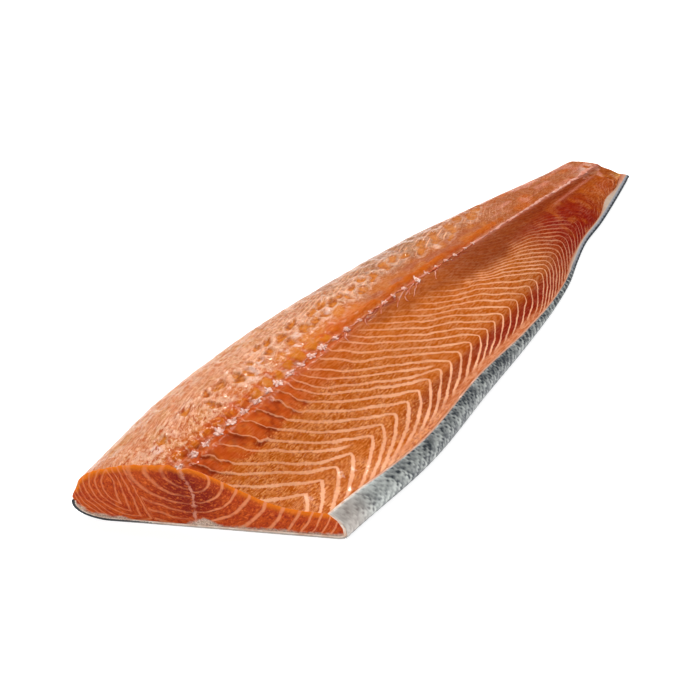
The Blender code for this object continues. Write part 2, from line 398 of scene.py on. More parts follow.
def chevron(x, y):
    """How many belly segments lie headward of a point, as a number that is whole on every fat line."""
    tip_x = np.interp(y, *TIP_LINE)
    rounding = np.interp(y, *TIP_ROUNDING)
    inner, outer = soft_over(tip_x - x, rounding), soft_over(x - tip_x, rounding)
    slope, steeper = np.interp(y, *INNER_SLOPE), np.interp(y, *INNER_STEEPER)
    steep = soft_over(inner - STEEPER_FROM, STEEPER_SOFT) - soft_over(inner - STEEPER_TO, STEEPER_SOFT)
    run = slope * inner + steeper * steep
    flake = np.interp(y, *FLAKE_SLOPE)
    run -= np.clip(slope - flake, 0, None) * soft_over(FLAKES_TO_X - x, FLAKES_SOFT)
    rim = soft_over(RIM_TO_X - x, RIM_SOFT) - soft_over(RIM_FROM_X - x, RIM_SOFT)
    run -= (flake + RIM_SLOPE) * rim
    run += np.interp(y, *OUTER_SLOPE) * outer + np.interp(y, *OUTER_BEND) * outer**2
    count = np.interp(y + run, *TIP_COUNT)
    room = sum(most * hump(count, place, reach) for place, reach, most in SPARE_ROOM)
    return count + room * rise(inner, 0, ROOM_FROM_TIP)


def dorsal_band(x, y):
    """The same for the dorsal half."""
    out = np.clip(measure("centre_x", y) - x, 0, None)
    bend = DORSAL_BEND[0] * out**2 + DORSAL_BEND[1] * out**3
    return np.interp(y - np.interp(y, *DORSAL_LEAN) * out - bend, *ROW_COUNT)


SPACING_STEP, FEWEST_LINES, MOST_LINES = 0.2, 0.03, 2


def spacing_of(count, x, y):
    """Millimetres from one line to the next, square to them."""
    step = SPACING_STEP
    along_x = (count(x + step, y) - count(x - step, y)) / (2 * step)
    along_y = (count(x, y + step) - count(x, y - step)) / (2 * step)
    return 1 / np.clip(np.hypot(along_x, along_y), FEWEST_LINES, MOST_LINES)


# Sunken ovals of soft brown flesh on the loin: place, half width, half length. They fade towards the tail.
PITS = (
    (-34, -166, 1.9, 3.6), (-35, -175, 1.6, 2.4), (-27, -182, 2.4, 2.0), (-34, -192, 1.7, 3.4),
    (-22, -180, 1.6, 1.6), (-28, -217, 1.6, 2.6), (-31, -127, 1.8, 3.0), (-40, -126, 1.5, 2.8),
    (-29, -138, 2.3, 2.6), (-27, -149, 2.8, 2.2), (-30, -155, 3.0, 3.2), (-33, -142, 1.6, 1.8),
    (-38, -119, 1.6, 3.0), (-35, -111, 2.0, 4.2), (-27, -112, 1.8, 3.6), (-30, -96, 2.6, 4.0),
    (-29, -87, 1.8, 4.2), (-39, -97, 1.8, 3.8), (-34, -63, 2.2, 4.4), (-38, -69, 2.2, 5.0),
    (-29, -78, 2.2, 2.4), (-37, -79, 1.8, 4.2), (-27, -41, 1.9, 3.6), (-35, -42, 1.9, 3.4),
    (-30, -53, 2.6, 1.8), (-35, -54, 1.8, 2.4), (-30, -26, 1.8, 3.0), (-36, -30, 2.2, 3.4),
    (-33, -20, 2.2, 3.2), (-31, -7, 1.8, 3.0), (-36, -4, 2.2, 4.0), (-36, 7, 2.2, 4.0),
    (-32, 14, 1.8, 3.2), (-27, 27, 2.0, 5.0), (-33, 36, 2.2, 4.6), (-28, 47, 2.0, 5.4),
    (-34, 53, 2.2, 5.0), (-22, 57, 1.6, 4.0), (-32, 70, 2.8, 5.6), (-26, 67, 1.6, 4.4),
    (-35, 86, 2.4, 6.0), (-29, 97, 2.8, 6.0), (-34, 112, 2.2, 6.0),
)
# Flecks of white membrane left on it.
FLECKS = (
    (-29, -104, 1.4, 2.6), (-30, -73, 1.6, 2.4), (-22, -114, 2.6, 1.2), (-21, -122, 1.0, 2.8),
    (-27, -146, 3.0, 1.4), (-25, -223, 2.2, 2.0), (-15, -113, 0.9, 1.6), (-30, -137, 1.0, 3.2),
    (-13, -8, 1.0, 1.0), (-21, 38, 1.4, 3.0),
)
# Smooth golden lobes of flesh that bulge between the pits and the row.
LOBES = (
    (-22, -127, 2.6, 2.8), (-17, -120, 3.6, 3.4), (-14, -132, 2.2, 3.0), (-12, -142, 2.0, 3.0),
    (-13, -151, 2.4, 3.0), (-15, -108, 2.6, 3.4), (-22, -105, 2.2, 2.8), (-12, -98, 1.8, 2.6),
    (-11, -161, 2.0, 2.6), (-24, -71, 2.4, 4.6),
)


OVAL_LEAN, OVAL_WIDER, OVAL_LONGER, OVAL_FADE, OVAL_RIM, RIM_REACH = 0.35, 1.15, 1.1, 1.45, 1.75, 0.3


def ovals(places, x, y):
    """(how far inside one of the leaning ovals a point lies, how much it is on a rim), both from 0 to 1."""
    depth, rim = np.zeros_like(x), np.zeros_like(x)
    for oval_x, oval_y, half_width, half_length in places:
        across, along = x - oval_x + OVAL_LEAN * (y - oval_y), y - oval_y
        reach = np.hypot(across / (OVAL_WIDER * half_width), along / (OVAL_LONGER * half_length))
        depth = np.maximum(depth, 1 - rise(reach, 1, OVAL_FADE))
        rim = np.maximum(rim, hump(reach, OVAL_RIM, RIM_REACH))
    return depth, rim


# Along the fillet: half the width of the fat lines on the chevrons' outer arms, on their inner ones and
# on the loin, then how far the dry sheen reaches over the belly. LOBE_EDGE goes across it, near the tail.
OUTER_LINE = ((-100, -40, 20, 120), (0.88, 0.58, 0.36, 0.30))
INNER_LINE = ((-100, -30, 60), (0.54, 0.40, 0.32))
LOIN_LINE = 0.34
SHEEN_EDGE = ((-100, -40, 0, 50, 100), (-6, 4, 11, 16, 14))
LOBE_EDGE = ((0, 5, 8, 15, 20, 25, 28), (205, 215, 228, 232, 236, 225, 214))
BLOB_X, BLOB_LEAN, BLOB_HALF_WIDTH, BLOB_SHARE = -4.4, 0.4, 2.7, 0.8


def lay_out_areas(at):
    """Torn flakes beside the row at the head, the belly's sheen, and the loin's smooth membrane."""
    x, y = at.x, at.y
    at.flake = rise(x + 3.5 * ripple(x, y, 7, 27), 11.5, 8) * rise(x, -7, -4)
    at.flake *= 0.12 * rise(y, -60, -90) + 0.88 * rise(y, -128, -158)
    at.sheen = rise(x - np.interp(y, *SHEEN_EDGE) - 2.5 * ripple(x, y, 8, 87), 6, -5) * (1 - at.dorsal)
    ragged = x + 4 * ripple(x, 0.7 * y, 7, 91)
    at.smooth = rise(ragged, -29, -19) * at.dorsal * rise(y, -142, -115) * rise(y, 110, 80)


def lay_out_segments(at):
    """The segments, whose lines wander a little, and more in the flakes."""
    x, y = at.x, at.y
    wavy_x = x + 0.5 * ripple(x, y, 11, 1) + 0.25 * ripple(x, y, 4, 2)
    wavy_y = y + 0.9 * ripple(x, y, 13, 3) + 0.35 * ripple(x, y, 4.5, 4)
    wavy_y += at.flake * (1.9 * ripple(x, y, 4.6, 5) + 0.9 * ripple(x, y, 2.2, 6))
    at.belly_count = chevron(wavy_x, wavy_y)
    at.count = np.where(at.on_loin, dorsal_band(wavy_x, wavy_y), at.belly_count)
    belly_gap = spacing_of(chevron, wavy_x, wavy_y)
    at.gap = np.where(at.on_loin, spacing_of(dorsal_band, wavy_x, wavy_y), belly_gap)


def lay_out_lines(at):
    """Fat lines, broad on the outer arms, thin towards the centre and tail, and faint under the sheen."""
    u, x, y = at.u, at.x, at.y
    outer_line = np.interp(y, *OUTER_LINE)
    inner_line = np.interp(y, *INNER_LINE) * (1 + 0.5 * hump(at.past_tip, -7, 5))
    line = np.where(at.past_tip > 0, outer_line, inner_line) * (1 + 0.25 * ripple(x, y, 6, 7))
    at.line = np.where(at.on_loin, LOIN_LINE, line) * (1 - 0.35 * at.flake)
    show = (1 - 0.9 * at.sheen) * (1 - 0.45 * rise(y, 40, 120))
    show *= 1 - rise(y, 118, 160) * (1 - 0.6 * spots(x, y, 7, 86, 0, 0.5) * rise(at.past_tip, -4, 0))
    show *= 1 - rise(u, 0.92, 0.965) * rise(y, -150, -120) * rise(y, 60, 20)
    show *= 0.8 + 0.2 * ripple(x, y, 9, 8)
    show *= np.where(at.past_tip < 0, 0.62 + 0.28 * rise(at.past_tip, -34, -6), 1)
    loin_show = 0.3 + 0.5 * hump(u, -0.5, 0.2) * rise(y, -160, -140)
    loin_show *= spots(x, y, 8, 9, -0.5, 0.3) * (1 - at.rear) * (1 - at.smooth)
    at.show = show * (1 - at.dorsal) + loin_show * at.dorsal


def lay_out_loin(at):
    """The loin's pits, flecks and lobes, the net of white membrane there, and the band beside the row."""
    x, y = at.x, at.y
    at.pit_fade = np.interp(y, (-45, 0, 120), (1, 0.75, 0.5))
    at.pits, at.rim = ovals(PITS, at.wander_x, at.wander_y)
    at.flecks = ovals(FLECKS, at.wander_x + ripple(x, y, 1.7, 25), at.wander_y)[0]
    at.lobes, at.lobe_rim = ovals(LOBES, at.wander_x, at.wander_y)
    at.net = hump(ripple(at.wander_x, at.wander_y, 3.2, 80), 0, 0.16) * hump(at.u, -0.48, 0.26)
    at.net *= rise(y, -165, -150) * rise(y, 20, -40) * (1 - at.smooth)
    at.beside = at.from_row + 0.9 * ripple(y, 0, 9, 26) + 0.5 * ripple(x, y, 2.6, 82)
    at.band = rise(at.beside, -6.4, -5) * rise(at.beside, -1, -2.2)
    at.band *= 0.55 + 0.45 * spots(x, y, 5.5, 75, -0.5, 0.2)
    at.rough_loin = at.dorsal * (1 - 0.8 * at.smooth) * (1 - 0.7 * at.rear)


def lay_out_row(at):
    """Soft lumps of flesh between the row's nerve ends, holes on the loin's side and tears on the belly's."""
    x, y = at.x, at.y
    at.row, at.row_front = hump(at.from_row, 0.3, 4.6), rise(y, -60, -100)
    at.lumps = spots(x, y, 3.2, 18, -0.35, 0.15)
    at.row_side = at.row_front * at.dorsal * rise(at.from_row + 2.5 * ripple(x, y, 5, 28), -8.5, -6.5)
    at.end_away = (np.interp(y, *ROW_COUNT) + 0.5) % 1 - 0.5
    blob_x = at.wander_x + BLOB_LEAN * (at.wander_y - y) - at.centre - BLOB_X
    at.between = np.hypot(blob_x / BLOB_HALF_WIDTH, (1 - 2 * np.abs(at.end_away)) / BLOB_SHARE)
    at.blob = at.row_front * rise(y, -78, -92) * (1 - rise(at.between, 0.75, 1.15))
    at.blob *= rise(at.from_row, 0.5, -0.5)
    at.holes = spots(x, 0.6 * y, 2, 97, 0.15, 0.55) * rise(y, -95, -130) * hump(at.from_row, -1.6, 2.2)
    at.tears = spots(x, 0.5 * y, 1.8, 29, 0, 0.5) * hump(at.from_row, 3, 2.2)
    at.tears *= rise(y, -110, -90) * rise(y, 65, 45)


def lay_out_tail(at):
    """At the tail the flesh ends in a lobe, with a ledge past it, a ridge along it and rings of muscle."""
    x, y = at.x, at.y
    at.lobe_end = np.interp(x, *LOBE_EDGE)
    at.ledge = rise(y - at.lobe_end, -0.9, 0.9) * rise(x, 0, 5)
    at.rings = hump((np.hypot(x - 27, 0.8 * (y - 226)) / 2.2 + 0.5) % 1, 0.5, 0.22)
    at.rings *= hump(y, 216, 9) * rise(x, 12, 16)


def lay_out(u, x, y):
    """Where points of the cut top lie among its parts: shares from 0 to 1, and distances in millimetres."""
    at = SimpleNamespace(u=u, x=x, y=y, centre=measure("centre_x", y))
    at.from_row, at.past_tip = x - at.centre, x - np.interp(y, *TIP_LINE)
    at.on_loin, at.dorsal = at.from_row < 0, rise(at.from_row, 1.5, -1.5)
    at.front, at.rear = rise(y, -60, -110), rise(y, 60, 150)
    at.wander_x, at.wander_y = x + 1.1 * ripple(x, y, 2.8, 11), y + 1.5 * ripple(x, y, 3.2, 12)
    lay_out_areas(at)
    lay_out_segments(at)
    lay_out_lines(at)
    lay_out_loin(at)
    lay_out_row(at)
    lay_out_tail(at)
    return at


# How high each kind of relief stands or how deep it lies, in millimetres.
GROOVE_DEEP, GROOVE_REACH, GROOVE_SHALLOWER = 1.2, 3.6, ((60, 190), (1, 0.1))
SEGMENT_SWELL, SEGMENT_STEP, FLAKE_STEP, LOIN_STEP = 0.22, 0.25, 0.75, 0.3
NET_HIGH, RIM_HIGH, FLECK_HIGH, BAND_HIGH, MEMBRANE_WAVES = 0.3, 0.4, 0.3, 0.5, 0.22
ROW_DEEP, LUMP_HIGH, LUMP_WAVES, BLOB_HIGH, LOBE_HIGH = 0.4, 0.6, 0.35, 0.6, 0.4
PIT_DEEP, HOLE_DEEP, TEAR_DEEP, LEDGE_DEEP, TAIL_RIDGE_HIGH = 1.2, 0.6, 0.7, 1.8, 0.5
LOIN_WAVES, LOIN_GRAIN, FINE_WAVES, BROAD_WAVES = 0.35, 0.2, 0.1, 0.3
STEP_PLACE, EDGE_SHARPNESS = 0.07, 14


def relief(at):
    """Height over the plain form. Each segment overlaps the one headward of it, most beside the row."""
    x, y = at.x, at.y
    overlap = 0.5 - (at.count + STEP_PLACE) % 1
    height = -GROOVE_DEEP * hump(at.from_row, 0.3, GROOVE_REACH) * np.interp(y, *GROOVE_SHALLOWER)
    swell = SEGMENT_SWELL * np.sin(math.pi * at.count) ** 2
    height += (1 - at.dorsal) * at.show * (swell + SEGMENT_STEP * overlap)
    height += FLAKE_STEP * at.flake * overlap
    loin = LOIN_STEP * overlap + NET_HIGH * at.net + RIM_HIGH * at.rim * at.pit_fade
    height += at.dorsal * rise(y, 40, -60) * loin
    height += MEMBRANE_WAVES * at.smooth * ripple(x, 0.5 * y, 3.5, 76)
    height += FLECK_HIGH * at.flecks + BAND_HIGH * at.band * (1 - at.row_front) * rise(y, 110, 60)
    lumps = LUMP_HIGH * at.lumps + LUMP_WAVES * ripple(x, y, 1.7, 20) - ROW_DEEP
    height += at.row * at.row_front * lumps
    height += BLOB_HIGH * at.blob + LOBE_HIGH * at.lobes
    deep = PIT_DEEP * at.pits * at.pit_fade + HOLE_DEEP * at.holes
    height -= deep + TEAR_DEEP * at.tears + LEDGE_DEEP * at.ledge
    grain = (LOIN_GRAIN + LOIN_GRAIN * at.front) * ripple(x + 0.5 * y, 0.4 * y, 1.7, 15)
    height += at.rough_loin * (LOIN_WAVES * ripple(x, y, 5, 14) + grain)
    height += TAIL_RIDGE_HIGH * hump(x, 7, 2) * rise(y, 145, 170) * (1 - at.ledge)
    height += FINE_WAVES * ripple(x, y, 2, 16) + BROAD_WAVES * ripple(x, y, 17, 17)
    return height * (1 - np.abs(at.u) ** EDGE_SHARPNESS)


def linear(red, green, blue):
    """A colour given as a screen shows it, in the renderer's numbers."""
    share = np.array((red, green, blue, 255)) / 255
    return np.where(share < 0.04045, share / 12.92, ((share + 0.055) / 1.055) ** 2.4)


LOIN_PINK = linear(208, 140, 102)
LOIN_ORANGE = linear(204, 118, 62)
FAR_LOIN = np.array((0.48, 0.53, 0.55, 1))
BELLY_ORANGE = linear(202, 114, 48)
OUTER_RED = linear(156, 64, 12)
FLAKE_BROWN = linear(194, 80, 8)
FLAKE_DARK = linear(140, 44, 6)
TAIL_RED = linear(146, 26, 0)
TAIL_BROWN = linear(170, 94, 46)
SHEEN_BROWN = linear(136, 56, 6)
EDGE_PINK = linear(214, 140, 98)
PIT_BROWN = linear(204, 122, 36)
PIT_SHADE = linear(150, 66, 10)
BAND_ORANGE = linear(196, 98, 4)
BAND_STRENGTH = ((25, 36, 50, 58, 95, 110), (1, 0.3, 0.4, 1, 0.9, 0.2))
MEMBRANE = linear(177, 98, 60)
SMOOTH_ORANGE = linear(204, 114, 50)
LUMP_ORANGE = linear(210, 114, 20)
LUMP_RED = linear(190, 76, 0)
TAN = linear(204, 146, 92)
PALE_PINK = linear(242, 198, 172)
RIDGE_LILAC = linear(216, 146, 128)
FLECK_WHITE = linear(240, 206, 192)
STRAND_PINK = linear(224, 136, 88)
CORNER_TAN = linear(196, 142, 82)
FAT_EDGE = linear(226, 150, 110)


def paint(at, colour, share):
    """Brings the tint nearer to a colour, where the share is above 0."""
    at.tint += (colour - at.tint) * np.clip(share, 0, 1)[..., None]


def paint_belly(at):
    """Orange, with brown flakes and sheen towards the row, and redder on the outer arms and at the tail."""
    x, y, from_row, flake = at.x, at.y, at.from_row, at.flake
    at.tint = np.broadcast_to(BELLY_ORANGE, x.shape + (4,)).copy()
    at.tint[..., :3] *= (1 - 0.18 * rise(y, 10, 80))[..., None]
    paint(at, FLAKE_BROWN, 0.85 * flake + 0.35 * rise(x, 22, 8) * at.front * spots(x, y, 14, 10, -0.6, 0.7))
    # Painted shadow: each flake is darker towards its tail end, where the next flake's raised edge shades it.
    paint(at, FLAKE_DARK, 0.75 * flake * rise(at.count % 1, 0.45, 0.95) * spots(x, y, 5, 13, -0.8, 0.4))
    paint(at, BELLY_ORANGE * 1.1, 0.5 * flake * spots(x, y, 3, 83, 0.1, 0.6))
    paint(at, FLAKE_DARK, 0.5 * flake * spots(x, y, 2.4, 84, 0.2, 0.7))
    paint(at, OUTER_RED, 0.8 * rise(at.past_tip, 1, 5) * rise(y, -130, -80))
    paint(at, SHEEN_BROWN, (0.45 + 0.4 * rise(y, -20, 50)) * at.sheen)
    paint(at, MEMBRANE * 0.8, 0.35 * at.sheen * spots(x, 0.4 * y, 4, 88, 0.1, 0.7) * rise(y, 120, 90))
    paint(at, TAIL_RED, 0.75 * hump(at.past_tip, 9, 7) * rise(y, -60, -5) * rise(y, 110, 60))
    paint(at, TAIL_RED, 0.85 * rise(y, 60, 140) * rise(from_row, 9, 20))
    paint(at, TAIL_RED, 0.3 * rise(y, 90, 150) * rise(from_row, 1, 6))
    paint(at, BAND_ORANGE * 0.85, 0.6 * rise(y, 165, 205) * rise(from_row, 5, 12))
    patches = spots(x, y, 6, 85, 0, 0.6)
    paint(at, BELLY_ORANGE * 0.9, 0.4 * rise(y, 100, 150) * rise(from_row, 5, 12) * patches)
    paint(at, SHEEN_BROWN, 0.7 * rise(y, 90, 130) * rise(from_row, 13, 4))
    paint(at, EDGE_PINK, 0.85 * rise(at.u, 0.915, 0.96) * rise(y, -175, -140) * rise(y, 60, 20))


def paint_loin(at):
    """Pink on the shoulder, smooth and orange or brown beside the row, with pits and flecks between."""
    x, y, dorsal, smooth = at.x, at.y, at.dorsal, at.dorsal * at.smooth
    loin = LOIN_ORANGE + (LOIN_PINK - LOIN_ORANGE) * rise(at.u, -0.15, -0.75)[..., None]
    paint(at, loin * (1 + (FAR_LOIN - 1) * rise(y, -180, 0)[..., None]), dorsal)
    paint(at, LOIN_PINK * 1.1, dorsal * rise(y, -150, -190) * rise(at.u, -0.2, -0.4) * rise(at.u, -0.8, -0.4))
    tan = TAN * (1 - 0.26 * rise(y, -150, 0))[..., None]
    paint(at, tan, (0.6 - 0.3 * rise(y, -110, -60)) * dorsal * spots(x, y, 6, 78, 0, 0.6))
    paint(at, PALE_PINK * 0.85, 0.6 * dorsal * spots(x, y, 5, 79, 0.1, 0.7) * rise(y, 60, -60))
    paint(at, SMOOTH_ORANGE, smooth * rise(y, -40, -60))
    paint(at, MEMBRANE, 0.9 * smooth * rise(y, -60, -35))
    paint(at, TAIL_BROWN, dorsal * rise(y, 20, 130))
    paint(at, BAND_ORANGE, 0.65 * dorsal * spots(x, 0.3 * y, 5, 89, -0.1, 0.6) * rise(y, 90, 140))
    paint(at, RIDGE_LILAC, 0.45 * dorsal * spots(x, 0.3 * y, 4, 90, 0.2, 0.7) * rise(y, 70, 120))
    paint(at, PALE_PINK, 0.8 * dorsal * at.net)
    paint(at, PALE_PINK, 0.75 * at.rim * at.pit_fade * (0.35 + 0.65 * spots(x, y, 4, 93, -0.4, 0.3)))
    paint(at, PIT_BROWN, at.pits * np.minimum(1.15 * at.pit_fade, 1))
    paint(at, PIT_SHADE, 0.7 * at.pits * at.pit_fade * spots(x, y, 1.9, 81, 0, 0.5))
    paint(at, FLECK_WHITE, 0.85 * at.flecks)
    paint(at, PIT_BROWN, 0.5 * smooth * spots(x, 0.5 * y, 5, 74, -0.2, 0.5))
    paint(at, LUMP_RED, 0.7 * hump(at.beside, -1.8, 1) * dorsal * rise(y, -120, -90) * rise(y, 100, 80))
    paint(at, BAND_ORANGE, 0.95 * at.band * rise(y, -165, -90) * np.interp(y, *BAND_STRENGTH))


def paint_tail(at):
    """The lobe's dark edge, the brown ledge past it, the ridge, and tan membrane in the corner."""
    x, y = at.x, at.y
    paint(at, TAIL_RED * 0.8, 0.9 * hump(y, at.lobe_end + 0.6, 1.4) * rise(x, 0, 5))
    paint(at, TAIL_BROWN, 0.8 * at.ledge)
    paint(at, RIDGE_LILAC, 0.5 * at.ledge * spots(x, y, 4, 72, 0, 0.6) + 0.4 * at.rings)
    paint(at, CORNER_TAN, 0.8 * hump(x, 19, 4.5) * rise(y, 240, 246))
    paint(at, FAT_EDGE, 0.6 * hump(y, at.lobe_end - 2.2, 1.2) * rise(x, 14, 20))
    paint(at, RIDGE_LILAC, 0.4 * hump(x, 7, 1.3) * rise(y, 145, 170) * rise(y, 232, 215))
    paint(at, FLECK_WHITE * 0.8, 0.9 * hump(x, -2.5, 5) * hump(y, 233, 12) * spots(x, y, 5, 73, -0.8, 0.2))


def paint_row(at):
    """Soft lumps of orange flesh stand on the loin's side of the row and of red flesh on the belly's."""
    x, y, from_row, row_front = at.x, at.y, at.from_row, at.row_front
    paint(at, LUMP_RED, (0.95 - 0.25 * rise(y, -190, -150)) * at.row_side)
    paint(at, STRAND_PINK, at.row_side * (0.3 * hump(at.between, 1.4, 0.22) + 0.06 * at.lumps))
    paint(at, LUMP_ORANGE, at.blob)
    paint(at, LUMP_RED, 0.7 * at.blob * spots(x, y, 1.9, 71, 0.15, 0.5))
    paint(at, FLAKE_DARK, 0.65 * at.holes)
    paint(at, PALE_PINK * 0.85, 0.5 * at.lobe_rim * spots(x, y, 3, 92, -0.2, 0.4))
    paint(at, PIT_BROWN * 1.05, 0.85 * at.lobes)
    paint(at, LUMP_RED, 0.9 * row_front * hump(from_row, 3.2, 2.6) * (1 - 0.5 * at.lumps))
    paint(at, FLAKE_DARK, 0.8 * at.tears)
    paint(at, STRAND_PINK, 0.4 * hump(from_row, 4.2, 0.8) * row_front * spots(x, y, 5, 30, 0, 0.4))
    paint(at, RIDGE_LILAC, 0.55 * hump(from_row, 1, 1.6) * rise(y, 40, 75))
    under_end = np.hypot((from_row - 0.8) / 2.3, 9.5 * at.end_away / 2.6)
    paint(at, FLECK_WHITE, 0.3 * row_front * rise(under_end, 1.1, 0.6))


def top_marks(at):
    """What the finish needs to know at each point of the cut top."""
    for painted in (paint_belly, paint_loin, paint_tail, paint_row):
        painted(at)
    x, y, dorsal = at.x, at.y, at.dorsal
    spare = sum(rise(np.abs(at.belly_count - place), 0.5, 0.4) for place in SPARE_LINES)
    loin = at.rough_loin * (1 - 0.8 * at.pits) * (1 - 0.85 * at.band) * (1 - at.row_side)
    wet = (1 - 0.85 * rise(y, 60, 130) * (1 - dorsal)) * (1 - 0.6 * at.row * at.row_front)
    dry_loin = dorsal * hump(y, -80, 90) * hump(at.from_row, -10, 12)
    feather = np.clip((1 - dorsal) * rise(y, 75, 120) + 0.45 * at.sheen, 0, 1)
    smooth = 0.75 * at.flake + 0.4 * at.sheen + 0.6 * dorsal * at.smooth + 0.8 * at.pits
    return {
        "tint": at.tint,
        "count": at.count,
        "gap": at.gap,
        "line": at.line,
        "show": at.show * (1 - 0.9 * at.pits),
        "spare": spare * rise(at.past_tip, -3, -5) * (1 - dorsal) * (1 - at.sheen),
        "loin": loin * (1 - 0.35 * rise(at.u, -0.7, -0.9)) * (1 - 0.35 * rise(y, -100, 20)),
        "feather": feather + 0.45 * dorsal * rise(y, 60, 120),
        "crumple": at.rough_loin * rise(y, -150, -185) * rise(at.u, -0.75, -0.5),
        "smooth": np.clip(smooth + 0.8 * at.row * at.row_front, 0, 1),
        "wet_grain": (1 - dorsal) * rise(y, -40, -110) * rise(x, 5, 10),
        "wet": wet * (1 - 0.6 * rise(at.u, 0.9, 0.97)) * (1 - 0.85 * dry_loin),
        "grain": np.stack([at.count * 10, x, y], -1),
    }


# What the raw flesh's two finishes share: it is wet, and lets a little light in.
WET_IOR = 1.34
RAW_FLESH = {
    "Subsurface Radius": (1, 0.35, 0.15),
    "Subsurface Scale": 2 * MM,
    "IOR": WET_IOR,
    "Specular IOR Level": 0.1,
    "Coat IOR": WET_IOR,
}
SPECK_PALE, SPECK_DARK = linear(234, 180, 144), linear(192, 98, 36)
GRAIN_GLINT, GRAIN_DARK = linear(238, 168, 104), linear(150, 50, 6)
STREAK_PALE, STREAK_DARK = linear(234, 182, 150), linear(190, 100, 38)
CRUMPLE_PALE, CRUMPLE_DARK = linear(248, 202, 172), linear(180, 84, 32)
VEIN_PINK, FAT_PINK = linear(246, 200, 170), linear(248, 188, 150)


def flesh_finish():
    """Wet muscle: the tint with fine fibres along the fish, streaks over the loin, and the pale fat lines."""
    flesh = Finish("cut flesh")
    times, plus, ramp, noise, tinge = flesh.times, flesh.plus, flesh.ramp, flesh.noise, flesh.tinge
    mark, drawn_out = flesh.mark, flesh.drawn_out
    place, grain = flesh.place(), mark("grain", 1)
    loin, smooth, wet_grain = mark("loin"), mark("smooth"), mark("wet_grain")
    crumpled, feather, count, gap = mark("crumple"), mark("feather"), mark("count"), mark("gap")

    # Muscle fibres, about half a millimetre apart, which run from head to tail, and specks over the loin.
    fibres = noise(drawn_out(place, (1, 0.18, 1)), 1100, 2, 0.55)
    blotch = noise(place, 130, 4)
    colour = mark("tint", 0)
    deeper, paler = flesh.shift(colour, 0.495, 1.08, 0.82), flesh.shift(colour, 0.505, 0.9, 1.12)
    fibrous = flesh.blend(ramp(blotch, 0.35, 0.7), colour, paler)
    fibrous = flesh.blend(ramp(fibres, 0.38, 0.58), deeper, fibrous)
    colour = flesh.blend(times(flesh.math("MAXIMUM", smooth, loin), 0.8), fibrous, colour)
    specks = noise(place, 480)
    colour = tinge(colour, SPECK_PALE, loin, specks, 0.52, 0.66, 0.65)
    colour = tinge(colour, SPECK_DARK, loin, specks, 0.48, 0.36, 0.6)

    # Near the head, pale gold dashes between the belly's lines are painted glints of the wet flesh, over
    # darker grains.
    grains = noise(drawn_out(place, (1, 0.32, 1)), 1500, 3, 0.55)
    patchy = times(wet_grain, ramp(blotch, 0.35, 0.6, 0.4, 1))
    colour = tinge(colour, GRAIN_GLINT, patchy, grains, 0.52, 0.64, 0.7)
    colour = tinge(colour, GRAIN_DARK, patchy, grains, 0.46, 0.36, 0.6)

    # The loin's short streaks, veins and crumples follow its segments.
    one_way = noise(drawn_out(grain, (1, 0.45, 0), 0.5), 0.78, 3, 0.55)
    other_way = noise(drawn_out(grain, (1, 0.45, 0), -0.6), 0.7, 3, 0.55)
    streaks = flesh.math("MAXIMUM", one_way, other_way)
    hollows = flesh.math("MINIMUM", one_way, other_way)
    colour = tinge(colour, STREAK_PALE, loin, streaks, 0.56, 0.68, 0.35)
    colour = tinge(colour, STREAK_DARK, loin, hollows, 0.45, 0.34, 0.4)
    veins = noise(drawn_out(grain, (0.6, 0.85, 0)), 0.3, 2, 0.55)
    veins = flesh.math("ABSOLUTE", flesh.math("SUBTRACT", veins, 0.5))
    veins = times(loin, ramp(veins, 0.025, 0.005, 0, 0.65))
    colour = flesh.blend(veins, colour, VEIN_PINK)
    crumples = noise(drawn_out(grain, (0.7, 0.6, 0), 0.4), 0.5, 3, 0.55)
    colour = tinge(colour, CRUMPLE_DARK, crumpled, crumples, 0.47, 0.36, 0.85)
    colour = tinge(colour, CRUMPLE_PALE, crumpled, crumples, 0.56, 0.66, 0.7)

    # Towards the tail fine dark and bright fibres follow the chevrons instead of pale lines.
    feathers = noise(drawn_out(grain, (1, 0.12, 0.02)), 0.9, 3, 0.55)
    darker, lighter = flesh.shift(colour, 0.49, 1.15, 0.62), flesh.shift(colour, 0.508, 1, 1.28)
    colour = tinge(colour, darker, feather, feathers, 0.48, 0.36, 0.75)
    colour = tinge(colour, lighter, feather, feathers, 0.54, 0.68, 0.75)

    # The fat lines lie where the count is whole, and the spare ones halfway between two of them.
    half_line = times(mark("line"), ramp(noise(place, 900, 2), 0.25, 0.75, 0.6, 1.4))
    away = times(flesh.math("PINGPONG", count, 0.5), gap)
    spare_away = times(flesh.math("PINGPONG", plus(count, 0.5), 0.5), gap)
    fat = ramp(flesh.math("SUBTRACT", away, half_line), 0.3, -0.22)
    spare = times(ramp(flesh.math("SUBTRACT", spare_away, half_line), 0.3, -0.22), mark("spare"))
    fat = times(flesh.math("MAXIMUM", fat, spare), mark("show"))
    colour = flesh.blend(fat, colour, FAT_PINK)

    glints = noise(place, 700, 3, 0.65)
    grainy = flesh.math("SUBTRACT", 1, times(smooth, 0.7))
    height = plus(
        times(plus(times(fibres, 0.4), times(glints, 0.8)), grainy),
        times(streaks, loin, 0.7),
        times(veins, 0.4),
        times(feathers, feather, 0.8),
        times(crumples, crumpled, 2.5),
        times(grains, wet_grain, 1.6),
        times(fat, 0.25),
    )
    drops = noise(place, 850)
    return flesh.surface(
        {
            **RAW_FLESH,
            "Base Color": colour,
            "Roughness": ramp(glints, 0.35, 0.65, 0.28, 0.5),
            "Normal": flesh.bump(0.9, 0.7 * MM, height),
            "Subsurface Weight": 0.12,
            "Coat Weight": times(mark("wet"), 0.5),
            "Coat Roughness": 0.08,
            "Coat Normal": flesh.bump(1, 0.8 * MM, plus(drops, times(height, 0.5))),
        }
    )


